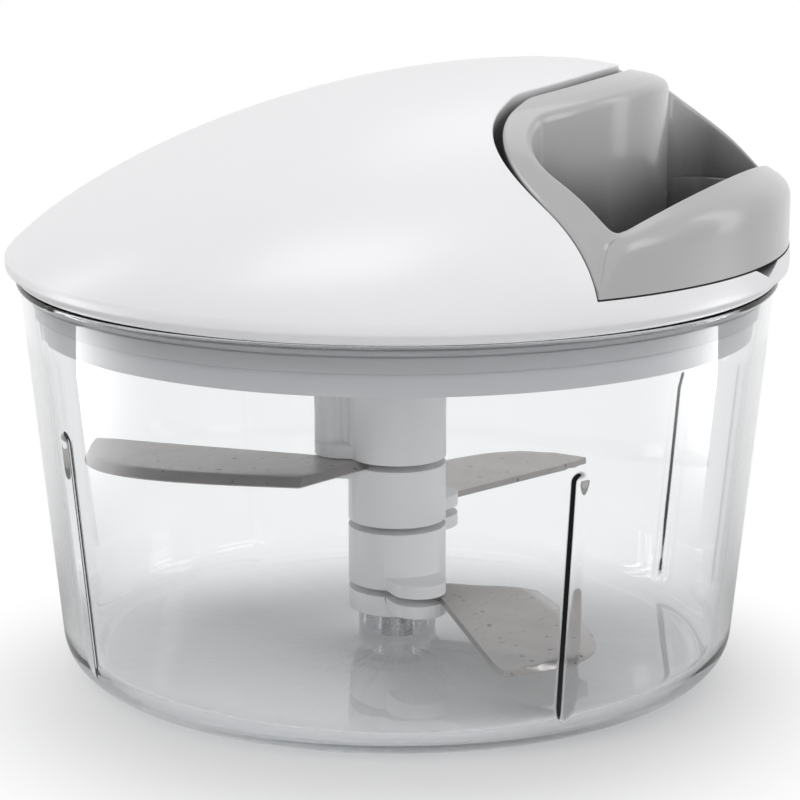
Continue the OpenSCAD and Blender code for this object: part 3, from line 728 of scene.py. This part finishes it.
# Where the slanted back ends, as a share of the blade's length
BACK_END = 0.93


def build_blade(name, node, direction, blade):
    """A blade with a slanted back and a convex edge, ground to a bevel on its upper face."""
    low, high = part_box(node)
    along = Vector((math.cos(direction), math.sin(direction), 0))
    verts = [Vector((v.co.x, v.co.y, 0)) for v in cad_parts[node].data.vertices]
    tip = max(v.dot(along) for v in verts)
    xs = np.concatenate(
        [
            np.linspace(blade.root_x, blade.belly_x, 8, endpoint=False),
            blade.belly_x + (tip - blade.belly_x) * np.sin(np.linspace(0, math.pi / 2, 44)),
        ]
    )
    u = np.clip((xs - blade.belly_x) / (tip - blade.belly_x), 0, 1)
    full = blade.width - BLADE_TIP_W
    edge = BLADE_TIP_W - blade.back + full * (1 - u**blade.belly) ** (1 / blade.belly)
    root = np.clip((xs - blade.root_x) / (blade.belly_x - blade.root_x), 0, 1)
    edge = np.minimum(edge, blade.root_half + (blade.width - blade.back - blade.root_half) * root)
    back_xs = [blade.root_x, blade.belly_x - HEEL_GAP, BACK_END * tip, tip]
    back = np.interp(xs, back_xs, [0, blade.heel, -blade.back, -blade.back])
    shares = np.concatenate([np.linspace(0, 0.8, 7), np.linspace(0.84, 1, 7)])
    top = []
    under = []
    for s in shares:
        y = back + (edge - back) * s
        to_edge = np.clip((edge - y) / blade.bevel, 0, 1)
        z = low.z + blade.edge_t + (high.z - low.z - blade.edge_t) * to_edge
        top.append(np.stack([xs, y, z], 1))
        under.append(np.stack([xs, y, np.full(len(xs), low.z)], 1))
    rows = np.array(top + under[::-1])
    turn = np.array([[along.x, along.y], [-along.y, along.x]])
    rows[..., :2] = rows[..., :2] @ turn
    count = len(xs)
    faces = grid_faces(len(rows), count, True)
    for i in range(len(shares) - 1):
        last = len(rows) - 1
        for column in (0, count - 1):
            a = i * count + column
            b = (i + 1) * count + column
            faces.append((a, b, (last - i - 1) * count + column, (last - i) * count + column))
    return add_piece(name, rows, faces, crease=20)


TURN_POINTS = 24
# Thickness of the wound cord as a share, so that it stays just inside the sleeve it fills
WOUND_SHARE = 0.98


def tube(path, radius, sides):
    """Points and faces of a round tube along a path, closed at both ends."""
    path = np.asarray(path, float)
    step = np.gradient(path, axis=0)
    step /= np.linalg.norm(step, axis=1)[:, None]
    up = np.array([0.0, 0.0, 1.0])
    side = np.cross(step, up)
    side /= np.linalg.norm(side, axis=1)[:, None]
    over = np.cross(side, step)
    rings = []
    for k in range(sides):
        a = 2 * math.pi * k / sides
        rings.append(path + radius * (math.cos(a) * side + math.sin(a) * over))
    points = np.stack(rings, 1)
    faces = grid_faces(len(path), sides, False, True)
    last = (len(path) - 1) * sides
    faces.append(tuple(range(sides)))
    faces.append(tuple(last + k for k in range(sides)))
    return points.reshape(-1, 3), faces


# Nodes


def put(tree, kind, inputs=None, **settings):
    """A new shader node with its settings, and each input set to a value or wired to a socket."""
    node = tree.nodes.new("ShaderNode" + kind)
    for name, value in settings.items():
        setattr(node, name, value)
    for key, value in (inputs or {}).items():
        if isinstance(value, bpy.types.NodeSocket):
            tree.links.new(value, node.inputs[key])
        else:
            node.inputs[key].default_value = value
    return node


def figure(tree, operation, *terms):
    """What a Math node makes of values and sockets."""
    return put(tree, "Math", dict(enumerate(terms)), operation=operation).outputs[0]


def ramp(tree, value, start, end, low=0.0, high=1.0, soft=False):
    """A value taken from start..end to low..high, eased where soft is set."""
    inputs = {"Value": value, "From Min": start, "From Max": end, "To Min": low, "To Max": high}
    kind = "SMOOTHSTEP" if soft else "LINEAR"
    return put(tree, "MapRange", inputs, interpolation_type=kind).outputs["Result"]


def object_place(tree):
    """The place on the piece, in its own metres."""
    return put(tree, "TexCoord").outputs["Object"]


def noise(tree, place, scale, detail=2):
    """Noise over a place."""
    return put(tree, "TexNoise", {"Vector": place, "Scale": scale, "Detail": detail}).outputs["Fac"]


def scaled(tree, rgb, share):
    """A colour made darker or lighter by a share."""
    return put(tree, "VectorMath", {0: rgb, "Scale": share}, operation="SCALE").outputs["Vector"]


def relief(tree, height, strength, distance):
    """The normal of a bump."""
    inputs = {"Height": height, "Strength": strength, "Distance": distance}
    return put(tree, "Bump", inputs).outputs["Normal"]


# Shader effects


def new_group(name, inputs, outputs):
    """An empty shader node group with named sockets."""
    group = bpy.data.node_groups.new(name, "ShaderNodeTree")
    for label, kind, value in inputs:
        socket = group.interface.new_socket(name=label, in_out="INPUT", socket_type=kind)
        socket.default_value = value
    for label, kind in outputs:
        group.interface.new_socket(name=label, in_out="OUTPUT", socket_type=kind)
    start = group.nodes.new("NodeGroupInput")
    end = group.nodes.new("NodeGroupOutput")
    return group, start.outputs, end.inputs


SURFACE_OUTPUTS = [
    ("Colour", "NodeSocketColor"),
    ("Roughness", "NodeSocketFloat"),
    ("Normal", "NodeSocketVector"),
]


def moulded_group():
    """Moulded plastic: faint flow marks in the colour, soft roughness patches and a fine bump."""
    group, given, result = new_group(
        "Moulded plastic",
        [
            ("Colour", "NodeSocketColor", (0.8, 0.8, 0.8, 1)),
            ("Roughness", "NodeSocketFloat", 0.3),
            ("Grain scale", "NodeSocketFloat", 900.0),
            ("Grain strength", "NodeSocketFloat", 0.05),
            ("Mottle", "NodeSocketFloat", 0.04),
        ],
        SURFACE_OUTPUTS,
    )
    link = group.links.new
    place = object_place(group)
    cloud = figure(group, "SUBTRACT", noise(group, place, 24, 4), 0.5)
    mottle = figure(group, "MULTIPLY_ADD", cloud, given["Mottle"], 1.0)
    link(scaled(group, given["Colour"], mottle), result["Colour"])
    link(figure(group, "MULTIPLY_ADD", cloud, 0.12, given["Roughness"]), result["Roughness"])
    grain = noise(group, place, given["Grain scale"])
    link(relief(group, grain, given["Grain strength"], 0.2 * MM), result["Normal"])


def brushed_group():
    """Brushed steel: fine scratches across X, soft stains and, where asked for, small dark specks."""
    group, given, result = new_group(
        "Brushed steel",
        [
            ("Colour", "NodeSocketColor", (0.6, 0.6, 0.6, 1)),
            ("Roughness", "NodeSocketFloat", 0.3),
            ("Scratch", "NodeSocketFloat", 0.1),
            ("Stain", "NodeSocketFloat", 0.1),
            ("Speck", "NodeSocketFloat", 0.0),
        ],
        SURFACE_OUTPUTS,
    )
    link = group.links.new
    place = object_place(group)
    drawn = put(group, "Mapping", {"Vector": place, "Scale": (2600, 160, 2600)}).outputs["Vector"]
    scratch = noise(group, drawn, 1, 3)
    stain = figure(group, "SUBTRACT", noise(group, place, 160, 5), 0.5)
    shade = figure(group, "MULTIPLY_ADD", stain, given["Stain"], 1.0)
    specks = ramp(group, noise(group, place, 620), 0.66, 0.72, high=given["Speck"])
    worn = figure(group, "SUBTRACT", shade, specks)
    link(scaled(group, given["Colour"], worn), result["Colour"])
    link(figure(group, "MULTIPLY_ADD", scratch, 0.2, given["Roughness"]), result["Roughness"])
    link(relief(group, scratch, given["Scratch"], 0.1 * MM), result["Normal"])


def braid_group():
    """Braided fibre: crossed diagonal strands in colour and bump, with painted shade darkening the colour
    between the strands.
    """
    group, given, result = new_group(
        "Braid",
        [("Colour", "NodeSocketColor", (0.8, 0.8, 0.8, 1)), ("Strand scale", "NodeSocketFloat", 900.0)],
        [("Colour", "NodeSocketColor"), ("Normal", "NodeSocketVector")],
    )
    place = object_place(group)
    strands = []
    for angle in (0.8, -0.8):
        turned = put(group, "Mapping", {"Vector": place, "Rotation": (0, angle, angle)}).outputs["Vector"]
        wave = put(group, "TexWave", {"Vector": turned, "Scale": given["Strand scale"]})
        strands.append(wave.outputs["Fac"])
    weave = figure(group, "MAXIMUM", *strands)
    # Painted shade: the colour is darker in the grooves between the strands
    shade = ramp(group, weave, 0.0, 1.0, low=0.7)
    group.links.new(scaled(group, given["Colour"], shade), result["Colour"])
    group.links.new(relief(group, weave, 0.4, 0.2 * MM), result["Normal"])


# Materials


PLASTIC_IOR = 1.46
CLEAR_IOR = 1.45
# What is left of the light that passes the bowl's wall in shadows, and the wall's own tint
CLEAR_SHADE = (0.97, 0.97, 0.972, 1)
HAZE_COLOUR = (0.62, 0.66, 0.70, 1)
HAZE_DENSITY = 25.0
# Painted shade in hollows and gaps: how open a spot is where the painted shade is darkest and where it
# ends, and what share of the colour is left at its darkest
PAINTED_SHADE_OPEN = (0.32, 0.82)
PAINTED_SHADE_DARK = 0.12
PAINTED_SHADE_SAMPLES = 12


def start_material(name, values):
    """A new material and its Principled shader, with values on the shader's own sockets."""
    material = bpy.data.materials.new(name)
    material.use_nodes = True
    shader = material.node_tree.nodes["Principled BSDF"]
    for label, value in values.items():
        shader.inputs[label].default_value = value
    return material, material.node_tree, shader


def put_out(tree, shader, socket="Surface"):
    """Wires a shader to the material's output."""
    tree.links.new(shader.outputs[0], tree.nodes["Material Output"].inputs[socket])


def effect(tree, group, shader, values):
    """Places an effect group with its values, and wires what it puts out into the shader."""
    node = tree.nodes.new("ShaderNodeGroup")
    node.node_tree = bpy.data.node_groups[group]
    for label, value in values.items():
        node.inputs[label].default_value = value
    wires = {"Colour": "Base Color", "Roughness": "Roughness", "Normal": "Normal"}
    for socket in node.outputs:
        tree.links.new(socket, shader.inputs[wires[socket.name]])


def painted_hollow_shade(tree, shader, reach):
    """Paints shade into the base colour in hollows and gaps, darker by how much within reach is walled in.
    """
    colour_in = shader.inputs["Base Color"].links[0].from_socket
    # Ambient occlusion, painted into the base colour as shade
    near = put(tree, "AmbientOcclusion", {"Distance": reach}, samples=PAINTED_SHADE_SAMPLES)
    level = ramp(tree, near.outputs["AO"], *PAINTED_SHADE_OPEN, low=PAINTED_SHADE_DARK)
    tree.links.new(scaled(tree, colour_in, level), shader.inputs["Base Color"])


def plastic(name, rgb, roughness, coat=0.0, gloss=0.12, grain=0.05, painted_shade_reach=0.0):
    """Moulded plastic, with a clear gloss where coat is set, and shade painted into its hollows where the
    painted shade's reach is set.
    """
    coating = {"IOR": PLASTIC_IOR, "Coat Weight": coat, "Coat Roughness": gloss}
    material, tree, shader = start_material(name, coating)
    values = {"Colour": (*rgb, 1), "Roughness": roughness, "Grain strength": grain}
    effect(tree, "Moulded plastic", shader, values)
    if painted_shade_reach:
        painted_hollow_shade(tree, shader, painted_shade_reach)
    return material


def steel(name, rgb, roughness, scratch, stain, speck=0.0):
    """Brushed or bright steel."""
    material, tree, shader = start_material(name, {"Metallic": 1.0})
    values = {"Colour": (*rgb, 1), "Roughness": roughness}
    values.update({"Scratch": scratch, "Stain": stain, "Speck": speck})
    effect(tree, "Brushed steel", shader, values)
    return material


def clear_plastic(name, rgb):
    """Clear bowl plastic, with faint waviness of the moulding, that lets shadow rays straight through."""
    values = {"Base Color": (*rgb, 1), "Roughness": 0.0, "IOR": CLEAR_IOR, "Transmission Weight": 1.0}
    material, tree, shader = start_material(name, values)
    wave = noise(tree, object_place(tree), 40)
    tree.links.new(relief(tree, wave, 0.01, 0.5 * MM), shader.inputs["Normal"])
    rays = put(tree, "LightPath").outputs
    passing = figure(tree, "MAXIMUM", rays["Is Shadow Ray"], rays["Is Diffuse Ray"])
    through = put(tree, "BsdfTransparent", {"Color": CLEAR_SHADE})
    put_out(tree, put(tree, "MixShader", {0: passing, 1: shader.outputs[0], 2: through.outputs[0]}))
    haze = put(tree, "VolumeAbsorption", {"Color": HAZE_COLOUR, "Density": HAZE_DENSITY})
    put_out(tree, haze, "Volume")
    return material


def braid(name, rgb):
    """Braided cord."""
    material, tree, shader = start_material(name, {"Roughness": 0.85})
    effect(tree, "Braid", shader, {"Colour": (*rgb, 1)})
    return material


def make_materials(finish):
    """Every finish of the chopper, by name."""
    moulded_group()
    brushed_group()
    braid_group()
    return {
        # The cover's gaps and the handle's opening get shade painted into their colour
        "cover": plastic(
            "Gloss white plastic", finish.cover, 0.38, coat=0.22, gloss=0.27, grain=0.03, painted_shade_reach=3 * MM
        ),
        "handle": plastic("Satin grey plastic", finish.handle, 0.3, coat=0.45, painted_shade_reach=22 * MM),
        "stem": plastic("Pale stem plastic", finish.stem, 0.36),
        "base": plastic("Grey base plastic", finish.base, 0.4),
        "drive": plastic("Slick drive plastic", finish.drive, 0.45),
        "rubber": plastic("Seal rubber", finish.rubber, 0.6, grain=0.12),
        "bowl": clear_plastic("Clear bowl plastic", finish.clear),
        "blade": steel("Blade steel", finish.blade, 0.24, scratch=0.12, stain=0.3, speck=0.55),
        "steel": steel("Bright steel", finish.steel, 0.16, scratch=0.05, stain=0.06),
        "cord": braid("Braided cord fibre", finish.cord),
    }


def material_of(name):
    """A finish by its name, made on first use."""
    store = bpy.context.scene.chopper_finishes
    if "chopper_made" not in store:
        made = make_materials(store)
        store["chopper_made"] = {key: value.name for key, value in made.items()}
    return bpy.data.materials[store["chopper_made"][name]]


# Stage


# The photograph's view: turned from the pull by VIEW_TURN, tilted down by VIEW_TILT
VIEW_TURN = math.radians(26)
VIEW_TILT = math.radians(13.33)
VIEW_DISTANCE = 0.5038
VIEW_TARGET = Vector((0.00046, 0.00022, 0.0469))
VIEW_LENS = 126.6
VIEW_RIGHT = Vector((math.cos(VIEW_TURN), math.sin(VIEW_TURN), 0))
VIEW_TOWARD = Vector((math.sin(VIEW_TURN), -math.cos(VIEW_TURN), 0))
UP = Vector((0, 0, 1))

# Plain light on the object, and the grey of the side walls that gloss and glass show
WORLD_LIGHT = 0.38
WALL_GREY = 0.3
WALL_RISE = 0.2
WALL_FACING = (0.2, 0.92)
GLASS_WHITE = 0.5

# The floor, and where the object's shade on it fades to white
FLOOR_HALF = 4.0
SHADE_SHIFT = 0.022
SHADE_REACH = (0.038, 0.092)

# Each lamp: its way from the middle (right, toward the view, up), its width and height, and its power
LAMP_MIDDLE = Vector((0, 0, 0.06))
LAMPS = (
    ("Key", (-0.25, 0.42, 0.72), (0.60, 0.40), 3.0),
    ("Fill", (0.75, 0.35, 0.40), (0.30, 0.60), 1.6),
    ("Front", (0.05, 0.80, 0.22), (0.60, 0.40), 1.0),
    ("Top", (0.10, -0.35, 0.80), (0.60, 0.40), 1.0),
    ("Left strip", (-0.62, -0.22, 0.16), (0.09, 0.60), 0.8),
    ("Right strip", (0.60, -0.14, 0.16), (0.12, 0.60), 0.5),
)
LAMPS_OUT_OF_GLOSS = ("Front",)

# The glowing cards: their light, the way they run out, and their corner beside the bowl
CARD_LIGHT = 9.0
CARD_WAY = (0.9026, 0.4305)
CARD_CORNER = (0.0575, 0.0325, 0.002)
CARD_POINTS = [(0.02, 0, 0), (0.3, 0, 0), (0.3, 0.16, 0), (0.02, 0.16, 0)]
CARD_FADES = (("X", 0.15, 0.7, CARD_LIGHT), ("Y", 0.85, 0.0, 1.0))


def view_axis():
    """Direction from the target to the camera."""
    flat = math.cos(VIEW_TILT)
    return Vector((math.sin(VIEW_TURN) * flat, -math.cos(VIEW_TURN) * flat, math.sin(VIEW_TILT)))


def add_camera(scene):
    """The camera at the photograph's view."""
    data = bpy.data.cameras.new("Camera")
    data.lens = VIEW_LENS
    data.sensor_width = 36
    data.clip_start = 0.01
    camera = bpy.data.objects.new("Camera", data)
    camera.location = VIEW_TARGET + view_axis() * VIEW_DISTANCE
    camera.rotation_euler = (-view_axis()).to_track_quat("-Z", "Y").to_euler()
    scene.collection.objects.link(camera)
    scene.camera = camera


def seen_rays(tree):
    """A socket that is 1 for what the eye sees, directly, in gloss or through glass."""
    rays = put(tree, "LightPath").outputs
    seen = rays["Is Camera Ray"]
    for label in ("Is Glossy Ray", "Is Transmission Ray"):
        seen = figure(tree, "MAXIMUM", seen, rays[label])
    return seen


def white_level(tree, way):
    """White straight ahead of the eye, and greyer at the sides in gloss and glass."""
    ahead = (-VIEW_TOWARD.x, -VIEW_TOWARD.y, WALL_RISE)
    facing = put(tree, "VectorMath", {0: way, 1: ahead}, operation="DOT_PRODUCT").outputs["Value"]
    wall = ramp(tree, facing, *WALL_FACING, low=WALL_GREY, soft=True)
    rays = put(tree, "LightPath").outputs
    white = figure(tree, "MULTIPLY_ADD", rays["Is Transmission Ray"], GLASS_WHITE, rays["Is Camera Ray"])
    return put(tree, "Mix", {"Factor": white, "A": wall, "B": 1.0}).outputs["Result"]


def add_floor(finish):
    """A wide pale floor that keeps the object's shadow and is white further out."""
    half = FLOOR_HALF
    points = [(-half, -half, 0), (half, -half, 0), (half, half, 0), (-half, half, 0)]
    floor = add_piece("studio_floor", points, [(0, 1, 2, 3)])
    values = {"Base Color": (*finish.floor, 1), "Roughness": 0.6, "Specular IOR Level": 0.2}
    material, tree, shader = start_material("Studio floor", values)
    place = object_place(tree)
    middle = tuple(VIEW_TOWARD * SHADE_SHIFT)
    reach = put(tree, "VectorMath", {0: place, 1: middle}, operation="DISTANCE").outputs["Value"]
    share = figure(tree, "MULTIPLY", ramp(tree, reach, *SHADE_REACH, soft=True), seen_rays(tree))
    way = put(tree, "VectorMath", {0: place}, operation="NORMALIZE").outputs["Vector"]
    glow = put(tree, "Emission", {"Strength": white_level(tree, way)})
    put_out(tree, put(tree, "MixShader", {0: share, 1: shader.outputs[0], 2: glow.outputs[0]}))
    floor.data.materials.append(material)


def add_world(scene):
    """White for the eye, graded white for gloss and glass, and a plain level of light on the object."""
    world = bpy.data.worlds.new("Studio")
    scene.world = world
    world.use_nodes = True
    tree = world.node_tree
    background = tree.nodes["Background"]
    background.inputs["Color"].default_value = (1, 1, 1, 1)
    shown = white_level(tree, put(tree, "TexCoord").outputs["Generated"])
    level = put(tree, "Mix", {"Factor": seen_rays(tree), "A": WORLD_LIGHT, "B": shown})
    tree.links.new(level.outputs["Result"], background.inputs["Strength"])


def add_lights():
    """A large soft key from above and left of the view, fills, a top light and strips at the sides."""
    for name, (aside, near, high), (width, height), power in LAMPS:
        data = bpy.data.lights.new(name, "AREA")
        data.shape = "RECTANGLE"
        data.size = width
        data.size_y = height
        data.energy = power
        lamp = bpy.data.objects.new(name, data)
        offset = aside * VIEW_RIGHT + near * VIEW_TOWARD + high * UP
        lamp.location = LAMP_MIDDLE + offset
        lamp.rotation_euler = (-offset).to_track_quat("-Z", "Y").to_euler()
        lamp.visible_glossy = name not in LAMPS_OUT_OF_GLOSS
        bpy.context.scene.collection.objects.link(lamp)


def card_glow():
    """A glow that fades out towards the card's near end and its edge, with nothing solid behind it."""
    material, tree, _ = start_material("Glowing card", {})
    place = put(tree, "TexCoord").outputs["Generated"]
    ways = put(tree, "SeparateXYZ", {"Vector": place}).outputs
    fades = []
    for axis, none, full, top in CARD_FADES:
        fades.append(ramp(tree, ways[axis], none, full, high=top, soft=True))
    glow = put(tree, "Emission", {"Strength": figure(tree, "MULTIPLY", *fades)})
    clear = put(tree, "BsdfTransparent")
    put_out(tree, put(tree, "AddShader", {0: glow.outputs[0], 1: clear.outputs[0]}))
    return material


def add_cards():
    """Two glowing cards on the floor, out of view at the sides, that show in gloss alone."""
    material = card_glow()
    for name, side in (("left_card", -1), ("right_card", 1)):
        card = add_piece(name, CARD_POINTS, [(0, 1, 2, 3)])
        corner = side * CARD_CORNER[0] * VIEW_RIGHT + CARD_CORNER[1] * VIEW_TOWARD + CARD_CORNER[2] * UP
        out = side * CARD_WAY[0] * VIEW_RIGHT - CARD_WAY[1] * VIEW_TOWARD
        near = side * CARD_WAY[1] * VIEW_RIGHT + CARD_WAY[0] * VIEW_TOWARD
        turn = Matrix((out, near, UP)).transposed()
        card.matrix_world = Matrix.Translation(corner) @ turn.to_4x4()
        card.data.materials.append(material)
        for rays in ("camera", "diffuse", "transmission", "shadow"):
            setattr(card, "visible_" + rays, False)


# Operators


class CHOPPER_OT_bowl(bpy.types.Operator):
    """Build the clear bowl and dress its pivot pin"""

    bl_idname = "chopper.bowl"
    bl_label = "Bowl"

    def execute(self, context):
        low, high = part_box("pivot_pin")
        bowl = build_bowl(context.scene.chopper_bowl, high.x, low.z)
        dress(bowl, "bowl", "bowl", material_of("bowl"))
        dress_node("pivot_pin", material_of("steel"))
        return {"FINISHED"}


class CHOPPER_OT_blades(bpy.types.Operator):
    """Build the ground blades and dress the stem"""

    bl_idname = "chopper.blades"
    bl_label = "Blades"

    def execute(self, context):
        sizes = context.scene.chopper_blades
        for i, place in enumerate(("upper", "lower", "middle")):
            node = place + "_blade"
            direction = sizes.first_dir + i * 2 * math.pi / 3
            blade = build_blade(place + "_blade_ground", node, direction, sizes)
            dress(blade, "blades", node, material_of("blade"))
        for node in ("stem_foot", "stem_lower", "stem_upper", "stem_head"):
            dress_node(node, material_of("stem"), edge=0.35 * MM)
        return {"FINISHED"}


class CHOPPER_OT_lid(bpy.types.Operator):
    """Build the domed cover and dress the lid's base, seal and screws"""

    bl_idname = "chopper.lid"
    bl_label = "Lid"

    def execute(self, context):
        cover = build_cover(context.scene.chopper_lid)
        dress(cover, "lid", "lid_cover", material_of("cover"))
        dress_node("lid_base", material_of("base"), edge=0.3 * MM)
        dress_node("seal_ring", material_of("rubber"), edge=0.4 * MM)
        dress_node("cover_screws", material_of("steel"))
        return {"FINISHED"}


class CHOPPER_OT_handle(bpy.types.Operator):
    """Build the loop handle and dress the plug that holds the cord"""

    bl_idname = "chopper.handle"
    bl_label = "Handle"

    def execute(self, context):
        handle = build_handle(context.scene.chopper_handle, context.scene.chopper_lid)
        dress(handle, "handle", "pull_handle", material_of("handle"))
        dress_node("cord_plug", material_of("handle"))
        return {"FINISHED"}


class CHOPPER_OT_drive(bpy.types.Operator):
    """Wind the cord, run it to the handle and dress the drive inside the lid"""

    bl_idname = "chopper.drive"
    bl_label = "Cord and drive"

    def execute(self, context):
        cord = context.scene.chopper_cord
        hub_r = context.scene.chopper_lid.hub_r
        radius = cord.diameter / 2
        low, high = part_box("cord_winding")
        a = np.linspace(0, 2 * math.pi * cord.turns, int(TURN_POINTS * cord.turns))
        rise = np.linspace(low.z + radius, high.z - radius, len(a))
        winding = np.stack([cord.wound_r * np.cos(a), cord.wound_r * np.sin(a), rise], 1)
        wound = add_piece("cord_turns", *tube(winding, radius * WOUND_SHARE, 8), crease=80)
        dress(wound, "drum", "cord_winding", material_of("cord"))
        knot_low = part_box("cord_knot")[0]
        start_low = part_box("pull_cord")[0]
        start = np.array([start_low.x + radius / 2, start_low.y + radius, cord.level])
        eyelet = np.array([hub_r, 0, cord.level])
        end = np.array([knot_low.x, 0, cord.level])
        u = np.linspace(0, 1, 16)[:, None]
        v = np.linspace(0, 1, 40)[1:, None]
        path = np.concatenate([start + (eyelet - start) * u, eyelet + (end - eyelet) * v])
        run = add_piece("cord_run", *tube(soften(path, 4, False), radius, 10), crease=80)
        run.data.materials.append(material_of("cord"))
        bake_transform(run)
        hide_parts("pull_cord")
        dress_node("cord_knot", material_of("cord"))
        for node in ("drive_shaft", "retaining_clip", "housing_screws", "cord_eyelet"):
            dress_node(node, material_of("steel"))
        for node in ("shaft_bush", "thrust_washer", "cord_drum"):
            dress_node(node, material_of("drive"))
        for node in ("spring_cover", "drum_housing"):
            dress_node(node, material_of("base"))
        dress_node("recoil_spring", material_of("blade"))
        return {"FINISHED"}


class CHOPPER_OT_stage(bpy.types.Operator):
    """Set up the floor, the light and the camera"""

    bl_idname = "chopper.stage"
    bl_label = "Stage"

    def execute(self, context):
        scene = context.scene
        scene.view_settings.view_transform = "Standard"
        add_floor(scene.chopper_finishes)
        add_world(scene)
        add_lights()
        add_cards()
        add_camera(scene)
        return {"FINISHED"}


class CHOPPER_PT_pieces(bpy.types.Panel):
    """Lists the pieces and their sizes"""

    bl_idname = "CHOPPER_PT_pieces"
    bl_label = "Food chopper"
    bl_space_type = "VIEW_3D"
    bl_region_type = "UI"
    bl_category = "Chopper"

    def draw(self, context):
        for operator in OPERATORS:
            self.layout.operator(operator.bl_idname)
        for name in GROUPS:
            group = getattr(context.scene, name)
            box = self.layout.box()
            box.label(text=name.replace("_", " "))
            for key in group.__annotations__:
                box.prop(group, key)


OPERATORS = (
    CHOPPER_OT_stage,
    CHOPPER_OT_bowl,
    CHOPPER_OT_blades,
    CHOPPER_OT_lid,
    CHOPPER_OT_handle,
    CHOPPER_OT_drive,
)
GROUPS = {
    "chopper_bowl": BowlSizes,
    "chopper_lid": LidSizes,
    "chopper_handle": HandleSizes,
    "chopper_blades": BladeSizes,
    "chopper_cord": CordSizes,
    "chopper_finishes": Finishes,
}


def register():
    for group in GROUPS.values():
        bpy.utils.register_class(group)
    for operator in OPERATORS:
        bpy.utils.register_class(operator)
    bpy.utils.register_class(CHOPPER_PT_pieces)
    for name, group in GROUPS.items():
        setattr(bpy.types.Scene, name, PointerProperty(type=group))


def unregister():
    for name in GROUPS:
        delattr(bpy.types.Scene, name)
    bpy.utils.unregister_class(CHOPPER_PT_pieces)
    for operator in reversed(OPERATORS):
        bpy.utils.unregister_class(operator)
    for group in reversed(list(GROUPS.values())):
        bpy.utils.unregister_class(group)


def main():
    register()
    bpy.ops.chopper.stage()
    bpy.ops.chopper.bowl()
    bpy.ops.chopper.blades()
    bpy.ops.chopper.lid()
    bpy.ops.chopper.handle()
    bpy.ops.chopper.drive()


if __name__ == "__main__":
    main()
